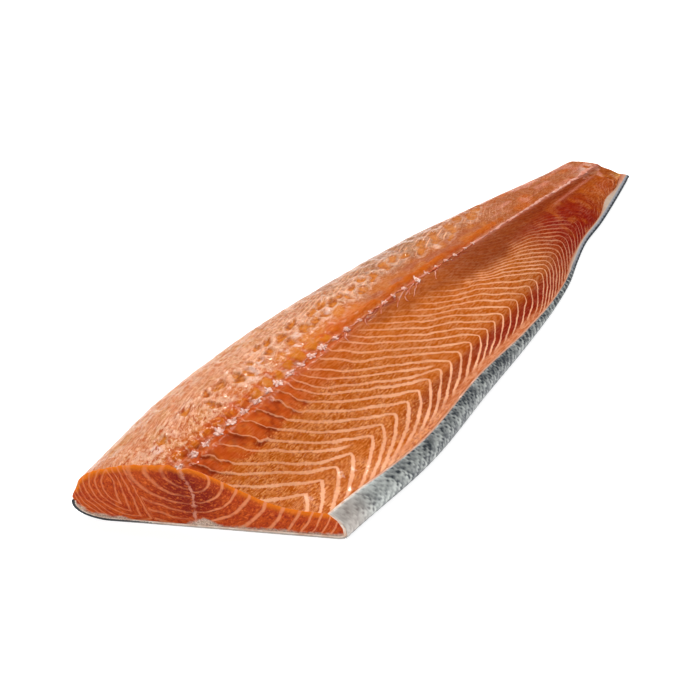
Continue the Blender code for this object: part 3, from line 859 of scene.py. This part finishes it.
# The head cut shows the segments' cones cut across: rings round the top of the septum, wider on the loin's
# side, and nested V's at the loin's outer end, which are arcs on their left and on their right lines that fan
# out downwards. Places are in millimetres along the cut, from near its belly end, and up from the table.
CUT_ORANGE, CUT_BROWN, CUT_RED = linear(196, 82, 16), linear(178, 58, 10), linear(132, 16, 4)
CUT_RIM, CUT_SPECK = linear(240, 134, 12), linear(216, 104, 40)
CUT_PALE, CUT_DARK = linear(230, 124, 56), linear(140, 36, 6)
CUT_FAT, SEAM_PINK = linear(236, 154, 108), linear(226, 160, 136)
SOLE_GREY, SOLE_WHITE = linear(172, 146, 130), linear(232, 212, 196)
FLANK_DARK, FLANK_PALE = linear(176, 92, 46), linear(206, 136, 96)
SEPTUM_FOOT, SEPTUM_LEAN = -77, 5
LOIN_MIDDLE, LOIN_NARROWER, LOIN_RING = (-74.5, 37), 0.62, 5.2
BELLY_MIDDLE = (-76, 33)
BELLY_RINGS = (0, 8, 15, 21.5, 28.3, 37.8, 47.2, 55.5, 61, 66, 70.5, 75, 80, 86)
ARC_MIDDLE = (-108.5, 26)
ARCS = (8, 11.3, 14.5, 17.6, 21, 24, 26.8, 29.3, 31.5, 33.5, 35.4, 37.2)
FAN_FROM, FAN_LEAN, FAN_STEP, FAN_WIDER, FAN_LINES = (-118.4, 36), 0.132, 2.75, 0.056, 4.3
DARK_FLESH = ((-83, 12, 24, 14, 1), (-70, 7, 20, 10, 0.7))
SOLE_THICK, SOLE_BUMP, SOLE_WAVES, CORNER_THICK, CORNER_WAVES = 3.2, 3.4, 0.8, 3.6, 0.9
CORNER_Y, CORNER_TOP, CORNER_STEPS = -255, math.radians(-8), 40


def across_cut(x):
    """Millimetres along the head cut, which are 0 near its belly end and negative towards the loin."""
    return (x - HEAD_CUT[0]) / math.cos(HEAD_CUT_TURN)


def cut_lines(across, up, loin):
    """How many of the head cut's fat lines a point lies past, as a number that is whole on every one."""
    a = across + 0.7 * ripple(across, up, 9, 31) + 0.3 * ripple(across, up, 3.5, 35)
    z = up + 0.7 * ripple(across, up, 8, 32) + 0.3 * ripple(across, up, 3.5, 36)
    ring = np.hypot(a - BELLY_MIDDLE[0], z - BELLY_MIDDLE[1])
    belly_count = np.interp(ring, BELLY_RINGS, np.arange(len(BELLY_RINGS)))
    ring_count = np.hypot((a - LOIN_MIDDLE[0]) * LOIN_NARROWER, z - LOIN_MIDDLE[1]) / LOIN_RING
    arc = np.interp(np.hypot(a - ARC_MIDDLE[0], z - ARC_MIDDLE[1]), ARCS, np.arange(len(ARCS)) - 1)
    down = FAN_FROM[1] - z
    fan = 1 + (a - FAN_FROM[0] - FAN_LEAN * down) / (FAN_STEP + FAN_WIDER * np.clip(down, 0, None))
    loin_count = np.where(fan < FAN_LINES, np.maximum(arc, fan), ring_count)
    return np.where(loin > 0.5, loin_count, belly_count)


def cut_marks(points, rim):
    """What the head cut's finish needs to know at each point. The rim is the top's row of points there."""
    across, up = across_cut(points[:, 0]), points[:, 2]
    from_septum = across - SEPTUM_FOOT + SEPTUM_LEAN * rise(up, 22, 42)
    loin = rise(from_septum, 0.6, -0.6)
    count = cut_lines(across, up, loin)
    red = 0.8 * hump(from_septum, -1.5, 4.5) * rise(up, 4, 14)
    for middle, half_wide, height, half_high, strength in DARK_FLESH:
        red = red + strength * hump(across, middle, half_wide) * hump(up, height, half_high)

    # The white sole is thicker under the septum, and in the corner it follows the dorsal edge upwards.
    edge_x, edge_z = dorsal_point(np.linspace(-math.pi / 2, CORNER_TOP, CORNER_STEPS), 0, CORNER_Y)
    from_edge = np.hypot(across[:, None] - across_cut(edge_x), up[:, None] - edge_z).min(1)
    sole = SOLE_THICK + SOLE_BUMP * hump(across, -72, 5) - SOLE_THICK * rise(across, -80, -84)
    sole = sole + SOLE_WAVES * ripple(across, 0, 4, 37)
    corner = CORNER_THICK * rise(across, -104, -114) * rise(up, 15, 10)
    corner = corner + CORNER_WAVES * ripple(across, up, 3, 38)
    return {
        "cut_count": count,
        "cut_loin": loin,
        "cut_place": np.stack([across, up, 0 * up], -1),
        "cut_grain": np.stack([10 * count, across, up], -1),
        "cut_red": np.clip(red, 0, 1),
        "below_rim": np.interp(across, across_cut(rim[:, 0]), rim[:, 2]) - up,
        "from_septum": from_septum,
        "to_sole": np.where(across < -100, np.minimum(up, from_edge) - corner, up - sole),
        "flank": rise(points[:, 1] - cut_y(points[:, 0], HEAD_CUT, HEAD_CUT_TURN), 1, 2),
    }


def head_cut_finish():
    """Flesh cut across: deep orange and slightly see-through, with the pink rings and diagonals of fat."""
    cut = Finish("flesh cut across")
    mark, ramp, blend, noise, plus, times = cut.mark, cut.ramp, cut.blend, cut.noise, cut.plus, cut.times
    place, loin = mark("cut_place", 1), mark("cut_loin")
    blotch, specks = noise(place, 0.16), noise(place, 1.1, 3, 0.65)
    fine = noise(cut.drawn_out(mark("cut_grain", 1), (0.5, 0.36, 0.36)), 1.2)
    colour = blend(ramp(blotch, 0.35, 0.65), CUT_BROWN, CUT_ORANGE)
    colour = blend(mark("cut_red"), colour, CUT_RED)
    colour = blend(ramp(specks, 0.42, 0.75, 0, 0.5), colour, CUT_SPECK)
    colour = blend(ramp(fine, 0.52, 0.68, 0, 0.7), colour, CUT_PALE)
    colour = blend(ramp(fine, 0.48, 0.34, 0, 0.7), colour, CUT_DARK)
    # Painted light: a bright orange band under the cut's top edge, where the light catches it.
    colour = blend(ramp(mark("below_rim"), 5.5, 0.8, 0, 0.8), colour, CUT_RIM)

    # The fat lines are thinner and fainter near the septum.
    off_septum = cut.math("ABSOLUTE", mark("from_septum"))
    away = cut.math("PINGPONG", mark("cut_count"), 0.5)
    away = cut.math("SUBTRACT", away, ramp(off_septum, 2, 16, 0.035, 0.085))
    fat = ramp(away, ramp(loin, 0.4, 0.6, 0.07, 0.13), -0.04)
    fat = times(fat, ramp(loin, 0.4, 0.6, 0.85, 0.52), ramp(blotch, 0.3, 0.5, 0.5, 1))
    fat = times(fat, ramp(off_septum, 0, 12, 0.55, 1))
    colour = blend(fat, colour, CUT_FAT)

    # The septum is a clotted seam of pale tissue, which runs into the white sole.
    clots = noise(place, 0.42, 2, 0.5)
    seam = plus(cut.math("SUBTRACT", off_septum, times(clots, 5)), times(specks, 1.6))
    colour = blend(ramp(seam, -0.5, -2.1, 0, 0.75), colour, SEAM_PINK)
    sole = plus(mark("to_sole"), plus(times(specks, 1.6), times(clots, 3)))
    sole_tone = blend(ramp(specks, 0.38, 0.62), SOLE_GREY, SOLE_WHITE)
    colour = blend(ramp(sole, 3.4, 0.8, 0, 0.9), colour, sole_tone)
    flank_tone = blend(ramp(noise(cut.place(), 420), 0.35, 0.65), FLANK_DARK, FLANK_PALE)
    return cut.surface(
        {
            **RAW_FLESH,
            "Base Color": blend(mark("flank"), colour, flank_tone),
            "Roughness": ramp(specks, 0.35, 0.65, 0.3, 0.5),
            "Normal": cut.bump(0.8, 0.5 * MM, plus(specks, fine, fat)),
            "Subsurface Weight": 0.15,
            "Coat Weight": 0.15,
            "Coat Roughness": 0.2,
        }
    )


UNDER_DORSAL, UNDER_WALL = 26, 22
KNIFE_DEEP, KNIFE_WAVES, KNIFE_RIPPLES = 0.25, 0.15, 0.1


def flesh_outline(v):
    """The flesh's outline at rows v: u of the top's points, the points, and those of the underside."""
    dorsal_u = -np.sin(np.linspace(math.pi / 2, 0, DORSAL_COLUMNS, endpoint=False))
    top_u = np.concatenate([dorsal_u, np.linspace(0, 1, BELLY_COLUMNS + 1)])
    v = v[:, None]
    x, y = between_cuts(lambda y: flesh_x(top_u, y), v)
    top = np.stack([x, y, flesh_z(top_u + 0 * x, y)], -1)

    angles = np.linspace(ARC_END, -math.pi / 2, UNDER_DORSAL)
    under_skin = rise(angles, BARE_TO, BARE_FROM)
    dorsal_inset = BARE_LOIN_INSET + (FLESH_SOLE - BARE_LOIN_INSET) * under_skin
    dorsal = edge_line(dorsal_point, angles, dorsal_inset, v)
    wall = edge_line(wall_point, np.linspace(-math.pi / 2, ARC_END, UNDER_WALL), FLESH_SOLE, v, 1)
    sole = flat_between(dorsal, wall, len(top_u) - UNDER_DORSAL - UNDER_WALL)
    under = np.concatenate([dorsal, sole, wall], 1)
    under[:, 0], under[:, -1] = top[:, 0], top[:, -1]
    return top_u, top, under


class Shape:
    """A mesh in the making: its points, and its faces with the number of each one's finish."""

    def __init__(self):
        self.points, self.faces, self.finish = np.zeros((0, 3)), [], []

    def add(self, points):
        """Adds a grid of points and gives their numbers."""
        numbers = len(self.points) + np.arange(points[..., 0].size).reshape(points.shape[:-1])
        self.points = np.concatenate([self.points, points.reshape(-1, 3)])
        return numbers

    def close(self, corners, finish=0):
        """Adds faces, each of them a row of corner numbers."""
        self.faces += np.asarray(corners).tolist()
        self.finish += [finish] * len(corners)

    def quads(self, a, b, c, d, finish=0):
        """Adds faces between four equally large sets of corners."""
        self.close(np.stack([a, b, c, d], -1).reshape(-1, 4), finish)

    def tubes(self, rings):
        """Adds the faces of tubes whose rings of points follow one another, with both ends closed."""
        beside = np.roll(rings, -1, -1)
        self.quads(rings[..., :-1, :], rings[..., 1:, :], beside[..., 1:, :], beside[..., :-1, :])
        for end in (rings[..., 0, :], rings[..., -1, ::-1]):
            self.close(end.reshape(-1, rings.shape[-1]))


MARK_KINDS = {1: ("FLOAT", "value"), 3: ("FLOAT_VECTOR", "vector"), 4: ("FLOAT_COLOR", "color")}
SHARP_EDGE = math.radians(55)


def piece(name, shape, finishes, marks):
    """A mesh object. Each mark gives its points in order a number, a vector or a colour, and the rest 0."""
    mesh = bpy.data.meshes.new(name)
    mesh.from_pydata(((shape.points - MIDDLE) * MM).tolist(), [], shape.faces)
    for finish in finishes:
        mesh.materials.append(finish)
    mesh.polygons.foreach_set("material_index", shape.finish)
    for mark, values in marks.items():
        width = values.shape[-1] if values.shape[-1] in MARK_KINDS else 1
        kind, key = MARK_KINDS[width]
        filled = np.zeros((len(shape.points), width), np.float32)
        filled[: values.size // width] = values.reshape(-1, width)
        mesh.attributes.new(mark, kind, "POINT").data.foreach_set(key, filled.ravel())
    mesh.polygons.foreach_set("use_smooth", [True] * len(mesh.polygons))
    mesh.update()
    mesh.set_sharp_from_angle(angle=SHARP_EDGE)
    made = add(name, mesh)
    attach(made, "root")
    return made


row_share = np.linspace(0, 1, ROWS)
top_u, top, under = flesh_outline(row_share * (HEAD_END_PITCH + (1 - HEAD_END_PITCH) * row_share))
parts = lay_out(np.broadcast_to(top_u, top.shape[:2]), top[..., 0], top[..., 1])
top[..., 2] += relief(parts)
shape = Shape()
number = shape.add(top)
shape.quads(number[:-1, :-1], number[:-1, 1:], number[1:, 1:], number[1:, :-1])

# The underside has a row for every few of the top's, and its outer faces take in the top's edge between them.
under_rows = np.unique(np.append(np.arange(0, ROWS, UNDERSIDE_STEP), ROWS - 1))
inner = shape.add(under[under_rows][:, 1:-1])
shape.quads(inner[:-1, :-1], inner[1:, :-1], inner[1:, 1:], inner[:-1, 1:], 1)
for i, (near, far) in enumerate(zip(under_rows, under_rows[1:])):
    shape.close([[*number[near : far + 1, 0], inner[i + 1, 0], inner[i, 0]]], 1)
    shape.close([[inner[i, -1], inner[i + 1, -1], *number[near : far + 1, -1][::-1]]], 1)


def knife_waves(grid):
    """The head cut's points, moved inwards by the knife's slight unevenness."""
    across, up = grid[..., 0], grid[..., 2]
    depth = KNIFE_DEEP + KNIFE_WAVES * ripple(across, up, 6, 33) + KNIFE_RIPPLES * ripple(across, up, 2.2, 34)
    return grid + depth[..., None] * (-math.sin(HEAD_CUT_TURN), math.cos(HEAD_CUT_TURN), 0)


def close_end(end, depth_rows):
    """The grid over a cut end, from the top's row to the underside's. Its two corners are single points."""
    share = np.linspace(0, 1, depth_rows + 1)[1:-1, None, None]
    grid = top[end, 1:-1] * (1 - share) + under[end, 1:-1] * share
    turn = 1 if end == 0 else -1
    whole = np.vstack([number[end, 1:-1], shape.add(knife_waves(grid) if end == 0 else grid), inner[end]])
    shape.quads(*(whole[:-1, :-1], whole[1:, :-1], whole[1:, 1:], whole[:-1, 1:])[::turn], 1)
    for side, way in ((0, turn), (-1, -turn)):
        upper, lower = whole[:-1, side], whole[1:, side]
        corner = np.full(len(upper), number[end, side])
        shape.close(np.stack([corner, lower, upper], -1)[:, ::way], 1)


close_end(0, FACE_ROWS)
close_end(-1, TAIL_ROWS)
finishes = [flesh_finish(), head_cut_finish()]
flesh = piece("flesh_dressed", shape, finishes, {**top_marks(parts), **cut_marks(shape.points, top[0])})
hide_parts("flesh")

# ------------------------------------------------------------
# The cord of the centre row: where the pin bones were pulled the nerve ends stand up as frayed white tufts,
# one a segment, and a thin pale cord joins them and turns into a low ridge towards the tail.
TUFTS, FULL_TUFTS, LAST_FULL_TUFT = 27, 13, 20
TUFT_REACH, SMALL_TUFT, LAST_TUFT, CUT_TUFT = 2.5, 0.62, 1.1, 0.6
TUFT_LUMPS, TUFT_POINTS, LUMP_RINGS, LUMP_SIDES, LUMP_END = 24, 4, 6, 8, 0.3
TUFT_SEED, TUFT_BESIDE, TUFT_STRETCH, TUFT_STRAY, TUFT_SIZES = 61, 0.8, 1.2, 1.2, (0.85, 1.15)
POINT_TURN, POINT_LONG, POINT_OUT = 0.45, (0.4, 0.8), (0.4, 0.75)
LUMP_LONG, LUMP_OUT, LUMP_WIDE, LUMP_LIFT = (0.18, 0.42), (0, 0.85), (0.16, 0.34), (0, 0.55)
CORD_FROM_Y, CORD_TO_Y, CORD_BESIDE, CORD_STEPS, CORD_SIDES = -224, 238, 0.9, 700, 9
CORD_WIDE = ((-224, -110, -60, 50, 90, 205, 225, 238), (0.2, 0.25, 0.5, 0.6, 0.7, 0.8, 2.4, 1.2))
CORD_TALL = ((-224, -110, -60, 90, 238), (0.15, 0.2, 0.35, 0.45, 0.3))
STRAND_STEPS, STRAND_THICK = 24, 0.5
STRANDS = (
    ((-5.9, -10.2), (-3.9, -17.8), (1.4, -26.8)), ((-6.1, -17.2), (-2.9, -34.5), (1.5, -32.8)),
    ((-7.0, -23.0), (-5.0, -35.2), (0.1, -43.5)), ((-6.8, -14.0), (-5.0, -25.0), (-1.6, -26.5)),
    ((-8.0, -50.0), (-5.0, -53.0), (-2.8, -56.2)), ((-7.5, -66.0), (-4.0, -72.0), (-2.0, -71.0)),
    ((-8.0, -86.0), (-4.5, -92.0), (-1.5, -90.5)), ((-6.0, 12.0), (-3.5, 4.0), (0.5, 1.5)),
)
CORD_BROWN, CORD_WHITE = linear(196, 92, 44), linear(240, 204, 190)


def flesh_height(x, y):
    """Height of the dressed flesh near the centre row."""
    centre = measure("centre_x", y)
    u = (x - centre) / (flesh_x(1, y) - centre)
    u = np.where(u < 0, (x - centre) / (centre - flesh_x(-1, y)), u)
    return flesh_z(u, y) + relief(lay_out(u, x, y))


tuft_random = np.random.default_rng(TUFT_SEED)


def any_of(low, high):
    """A random number for each lump of each tuft."""
    return tuft_random.uniform(low, high, (TUFTS, TUFT_LUMPS, 1, 1))


tuft = np.arange(TUFTS)[:, None, None, None]
tuft_y = np.interp(tuft, ROW_COUNT[1], ROW_COUNT[0])
tuft_y = tuft_y + tuft_random.uniform(-TUFT_STRAY, TUFT_STRAY, tuft.shape)
size = np.where(tuft < FULL_TUFTS, TUFT_REACH, SMALL_TUFT * TUFT_REACH)
size = size * tuft_random.uniform(*TUFT_SIZES, tuft.shape)
size = np.where(tuft == LAST_FULL_TUFT, LAST_TUFT * TUFT_REACH, size)
size = np.where(tuft == 0, CUT_TUFT * TUFT_REACH, size)

# A few longer points in a rough cross, and many short lumps between them. A lump is a tube that narrows at
# both ends.
lump = np.arange(TUFT_LUMPS)[None, :, None, None]
point = lump < TUFT_POINTS
heading = np.where(point, math.pi / 2 * lump + any_of(-POINT_TURN, POINT_TURN), any_of(0, 2 * math.pi))
long = size * np.where(point, any_of(*POINT_LONG), any_of(*LUMP_LONG))
wide = size * any_of(*LUMP_WIDE)
out = size * np.where(point, any_of(*POINT_OUT), any_of(*LUMP_OUT))
turn = np.linspace(0, 2 * math.pi, LUMP_SIDES, endpoint=False)
share = np.linspace(LUMP_END, math.pi - LUMP_END, LUMP_RINGS)[:, None]
ahead = long * np.cos(share) + out + 0 * turn
aside = wide * np.sin(share) * np.cos(turn)
x = measure("centre_x", tuft_y) + TUFT_BESIDE + ahead * np.cos(heading) - aside * np.sin(heading)
y = tuft_y + TUFT_STRETCH * (ahead * np.sin(heading) + aside * np.cos(heading))
x, y = x + 0.25 * ripple(x, y, 0.8, 67), y + 0.25 * ripple(x, y, 0.8, 68)
z = flesh_height(x, y) + any_of(*LUMP_LIFT) * (1.2 - out / size)
z += 0.7 * wide * np.sin(share) * np.sin(turn) + 0.15 * ripple(5 * x, 5 * y, 1.7, 62)
shape = Shape()
shape.tubes(shape.add(np.stack([x, y, z], -1)))
shade = [(any_of(0.2, 1.1) + 0 * x).ravel()]


def thread(x, y, wide, tall):
    """Adds a soft thread that lies on the flesh along (x, y), and returns the x and y of its points."""
    along = np.stack([np.gradient(x), np.gradient(y)], -1)
    along /= np.linalg.norm(along, axis=-1, keepdims=True)
    turn = np.linspace(0, 2 * math.pi, CORD_SIDES, endpoint=False)
    aside = wide[:, None] * np.cos(turn)
    z = flesh_height(x, y)[:, None] + tall[:, None] * (np.sin(turn) + 0.35)
    ring = np.stack([x[:, None] + aside * along[:, 1:], y[:, None] - aside * along[:, :1], z], -1)
    shape.tubes(shape.add(ring))
    return ring[..., 0].ravel(), ring[..., 1].ravel()


y = np.linspace(CORD_FROM_Y, CORD_TO_Y, CORD_STEPS)
x = measure("centre_x", y) + CORD_BESIDE + 0.6 * ripple(y, 0, 7, 64) + 0.35 * ripple(y, 0, 2.6, 69)
x, y = thread(x, y, np.interp(y, *CORD_WIDE) * (1 + 0.75 * ripple(y, 0, 3, 65)), np.interp(y, *CORD_TALL))
shade.append(0.45 * rise(y, 20, 90) - 0.15 + 0.3 * ripple(y, x, 2.5, 66))

# Torn strands that hang from the cord onto the belly side.
t = np.linspace(0, 1, STRAND_STEPS)
for (x0, y0), (x1, y1), (x2, y2) in STRANDS:
    x = (1 - t) ** 2 * x0 + 2 * t * (1 - t) * x1 + t**2 * x2
    y = (1 - t) ** 2 * y0 + 2 * t * (1 - t) * y1 + t**2 * y2
    x, y = x + 0.4 * ripple(x, y, 1.6, 70), y + 0.5 * ripple(x, y, 1.8, 94)
    thick = STRAND_THICK * (0.6 + 0.5 * np.abs(ripple(x, y, 1.5, 95))) * (1.1 - 0.5 * t)
    x, y = thread(x, y, thick, 0.8 * thick)
    shade.append(0.1 + 0.35 * ripple(y, x, 2.5, 96))


def cord_finish():
    """Pale nerve tissue, which thin places let turn brown."""
    nerve = Finish("nerve cord")
    mottle = nerve.noise(nerve.place(), 900, 2)
    share = nerve.plus(nerve.mark("shade"), nerve.times(mottle, 0.6))
    return nerve.surface(
        {
            "Base Color": nerve.blend(nerve.ramp(share, 0.1, 1.2, kind="LINEAR"), CORD_BROWN, CORD_WHITE),
            "Normal": nerve.bump(0.35, 0.4 * MM, mottle),
            "Roughness": 0.45,
            "Coat Weight": 0.15,
            "Coat Roughness": 0.15,
        }
    )


cord = piece("centre_cord", shape, [cord_finish()], {"shade": np.concatenate(shade)})

# ------------------------------------------------------------
# The fat: a thin whitish layer between flesh and skin. It shows as a band under the head cut, as a cream
# line along both edges, and broadly near the tail where the flesh was trimmed back. A closed loft.
FAT_ROWS, FAT_STEPS = 320, (10, 14, 14)
FAT_OUTSIDE, FAT_INSIDE, FAT_LIP_SHARE = 1.0, 2.2, 0.85
FAT_CREAM, FAT_WHITE, FAT_TAN = linear(214, 176, 152), linear(240, 226, 212), linear(206, 140, 106)
FAT_COOL, FAT_FILM, FAT_SMUDGE = linear(180, 166, 150), linear(170, 84, 40), linear(44, 44, 46)


def layer_ring(rows, outside, inside, trimmed, steps):
    """Points round a layer in each row, over its outer side from the wall to the loin and back over its inner
    one. The steps are how many lie on the wall, the sole and the dorsal edge."""
    v = np.linspace(0, 1, rows)[:, None]
    wall_angles = np.linspace(ARC_END, -math.pi / 2, steps[0])
    dorsal_angles = np.linspace(-math.pi / 2, DORSAL_SKIN_END, steps[2])
    sides = []
    for inset, share in ((outside, 0), (inside, trimmed)):
        wall = edge_line(wall_point, wall_angles, inset, v, share)
        dorsal = edge_line(dorsal_point, dorsal_angles, inset, v)
        sides.append(np.concatenate([wall, flat_between(wall, dorsal, steps[1]), dorsal], 1))
    return np.concatenate([sides[0], sides[1][:, ::-1]], 1)


def loft(ring):
    """The closed shape of a layer, whose ends are strips between its outer and its inner points."""
    made = Shape()
    number = made.add(ring)
    beside = np.roll(number, -1, 1)
    made.quads(number[:-1], beside[:-1], beside[1:], number[1:])
    half = ring.shape[1] // 2
    for row, turn in ((number[0], -1), (number[-1], 1)):
        outer, inner = row[:half], row[half:][::-1]
        made.quads(*(outer[:-1], outer[1:], inner[1:], inner[:-1])[::turn])
    return made


ring = layer_ring(FAT_ROWS, FAT_OUTSIDE, FAT_INSIDE, FAT_LIP_SHARE, FAT_STEPS)
ring[:, 0, 2] += 0.25 * ripple(ring[:, 0, 1], 0, 5, 41)
x, y = ring[..., 0], ring[..., 1]
half = ring.shape[1] // 2
film = np.zeros(x.shape)
film[:, -1] = 0.9 * rise(y[:, -1], 30, 70) * (1 - 0.8 * hump(y[:, -1], 207, 20))
smudge = np.zeros(x.shape)
smudge[0, :half] = 0.3 + 0.7 * rise(x[0, :half], -15, -35)
fat_marks = {
    "tan": rise(y, -175, -150) * rise(y, 115, 85) + rise(y, 234, 241),
    "cool": 0.75 * rise(y, 85, 115) * rise(y, 241, 234),
    "film": film,
    "smudge": smudge,
}


def fat_finish():
    """Mottled white fat, tan along the belly and cooler near the tail, with a smudge under the head cut."""
    soft = Finish("soft fat")
    mottle = soft.noise(soft.place(), 260)
    colour = soft.blend(soft.ramp(mottle, 0.35, 0.65, kind="LINEAR"), FAT_CREAM, FAT_WHITE)
    colour = soft.blend(soft.times(soft.mark("tan"), 0.75), colour, FAT_TAN)
    colour = soft.blend(soft.mark("cool"), colour, FAT_COOL)
    colour = soft.blend(soft.mark("film"), colour, FAT_FILM)
    smudged = soft.plus(soft.mark("smudge"), soft.noise(soft.place(), 1300, 3, 0.7))
    return soft.surface(
        {
            "Base Color": soft.blend(soft.ramp(smudged, 0.95, 1.05, kind="LINEAR"), colour, FAT_SMUDGE),
            "Normal": soft.bump(0.4, 0.4 * MM, mottle),
            "Roughness": 0.4,
            "Coat Weight": 0.3,
            "Coat Roughness": 0.2,
        }
    )


fat = piece("fat_dressed", loft(ring), [fat_finish()], fat_marks)
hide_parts("fat")

# ------------------------------------------------------------
# The skin: tough and thin, silver on the belly wall and blue-grey underneath, with scales 4 to 5 mm long that
# overlap towards the tail. A closed loft with the scales as relief on its outer surface.
SKIN_ROWS, SKIN_STEPS, SKIN_THICK = 620, (26, 12, 22), 0.85
SCALE_LONG, SCALE_WIDE, SCALE_HIGH, SCALE_REACH = 4.6, 3.4, 0.2, 0.8
SCALE_SEED, SHADE_ROWS, SHADE_COLUMNS = 51, 64, 256
PALER = ((-190, -130, -60, 30, 110), (0.2, -0.04, -0.12, -0.08, -0.2))
SCALE_DARK, SCALE_SILVER, HEAD_TAN = linear(66, 72, 78), linear(208, 212, 208), linear(206, 190, 180)
TAIL_GREY, BACK_BLUE = linear(170, 170, 176), linear(46, 54, 62)


def scale_marks(around, along):
    """(height, shade) of the overlapping scales. Each one's free edge is towards the tail."""
    height, shade = np.zeros_like(around), np.zeros_like(around)
    reach = SCALE_REACH * SCALE_LONG
    row = np.floor(around / SCALE_WIDE)
    found = np.zeros(around.shape, bool)
    shades = np.random.default_rng(SCALE_SEED).uniform(0, 1, (SHADE_ROWS, SHADE_COLUMNS))
    for column_step in (-2, -1, 0, 1):
        for row_step in (-1, 0, 1):
            lane = row + row_step
            shift = 0.5 * (lane % 2)
            cell = np.floor(along / SCALE_LONG - shift) + column_step
            ahead = along - (cell + shift + 0.5) * SCALE_LONG
            away = np.hypot((around - (lane + 0.5) * SCALE_WIDE) * 1.05, ahead)
            new = (away < reach) & ~found
            height = np.where(new, 0.5 + 0.5 * ahead / reach, height)
            own = shades[lane.astype(int) % SHADE_ROWS, cell.astype(int) % SHADE_COLUMNS]
            shade = np.where(new, own, shade)
            found |= new
    return height, shade


ring = layer_ring(SKIN_ROWS, 0, SKIN_THICK, 0, SKIN_STEPS)
around = np.cumsum(np.linalg.norm(np.diff(ring, axis=1, prepend=ring[:, :1]), axis=-1), 1)
scale_height, scale_shade = scale_marks(around, ring[..., 1])
half = ring.shape[1] // 2
normal = np.cross(np.gradient(ring, axis=0), np.gradient(ring, axis=1))
normal /= np.linalg.norm(normal, axis=-1, keepdims=True) + 1e-9
outwards = np.sign((normal[:, half // 4] * (ring[:, half // 4] - ring.mean(1))).sum(-1).mean())
lift = SCALE_HIGH * (scale_height - 1)
lift[:, half:] = 0
lift[:, 0] = 0
ring = ring + outwards * normal * lift[..., None]
ring[..., 2] = np.maximum(ring[..., 2], 0)

x, y, z = np.moveaxis(ring, -1, 0)
up_share = z / wall_point(ARC_END, 0, y)[1]
at_tail = rise(y, 85, 125) * rise(x, measure("centre_x", y), 12)
back_edge = measure("dorsal_x", y)
in_head_cut = (np.arange(SKIN_ROWS) == 0)[:, None]
skin_marks = {
    "shade": scale_shade,
    "lifted": scale_height,
    "up": z,
    "paler": np.interp(y, *PALER),
    "near_head": rise(y, -160, -182),
    "head_corner": 1 - 0.85 * rise(x, -45, -15) * in_head_cut,
    "tail_pale": at_tail * rise(up_share, 0.84, 0.95),
    "tail_line": at_tail * hump(up_share, 0.7, 0.2),
    "back": rise(x, back_edge + 22, back_edge + 12),
}


def skin_finish():
    """Silver scales, each of its own shade, with dark blue-grey at the foot, the back and the tail."""
    silver = Finish("silver skin")
    mark, times, blend, plus = silver.mark, silver.times, silver.blend, silver.plus
    mottle = silver.noise(silver.place(), 420, 4, 0.65)
    # Painted highlight: each scale is lighter towards its lifted free edge.
    tone = plus(times(mark("shade"), 0.34), times(mottle, 0.7), times(mark("lifted"), 0.62), mark("paler"))
    colour = blend(silver.ramp(tone, 0.66, 1.18, kind="LINEAR"), SCALE_DARK, SCALE_SILVER)
    colour = blend(times(mark("near_head"), 0.55), colour, HEAD_TAN)
    tail_pale = mark("tail_pale")
    colour = blend(tail_pale, colour, TAIL_GREY)
    foot = times(silver.ramp(mark("up"), 4, 2.6, kind="LINEAR"), mark("head_corner"))
    foot = times(foot, silver.math("SUBTRACT", 1, tail_pale))
    line = silver.ramp(plus(mark("tail_line"), mottle), 0.75, 1.15, kind="LINEAR")
    dark = silver.math("MAXIMUM", foot, line, mark("back"))
    bright = silver.math("SUBTRACT", 1, dark)
    return silver.surface(
        {
            "Base Color": blend(dark, colour, BACK_BLUE),
            "Normal": silver.bump(0.3, 0.3 * MM, mottle),
            "Metallic": times(bright, 0.25),
            "Roughness": 0.38,
            "Specular IOR Level": 0.25,
            "Coat Weight": times(bright, 0.4),
            "Coat Roughness": 0.12,
        }
    )


skin = piece("skin_dressed", loft(ring), [skin_finish()], skin_marks)
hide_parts("skin")
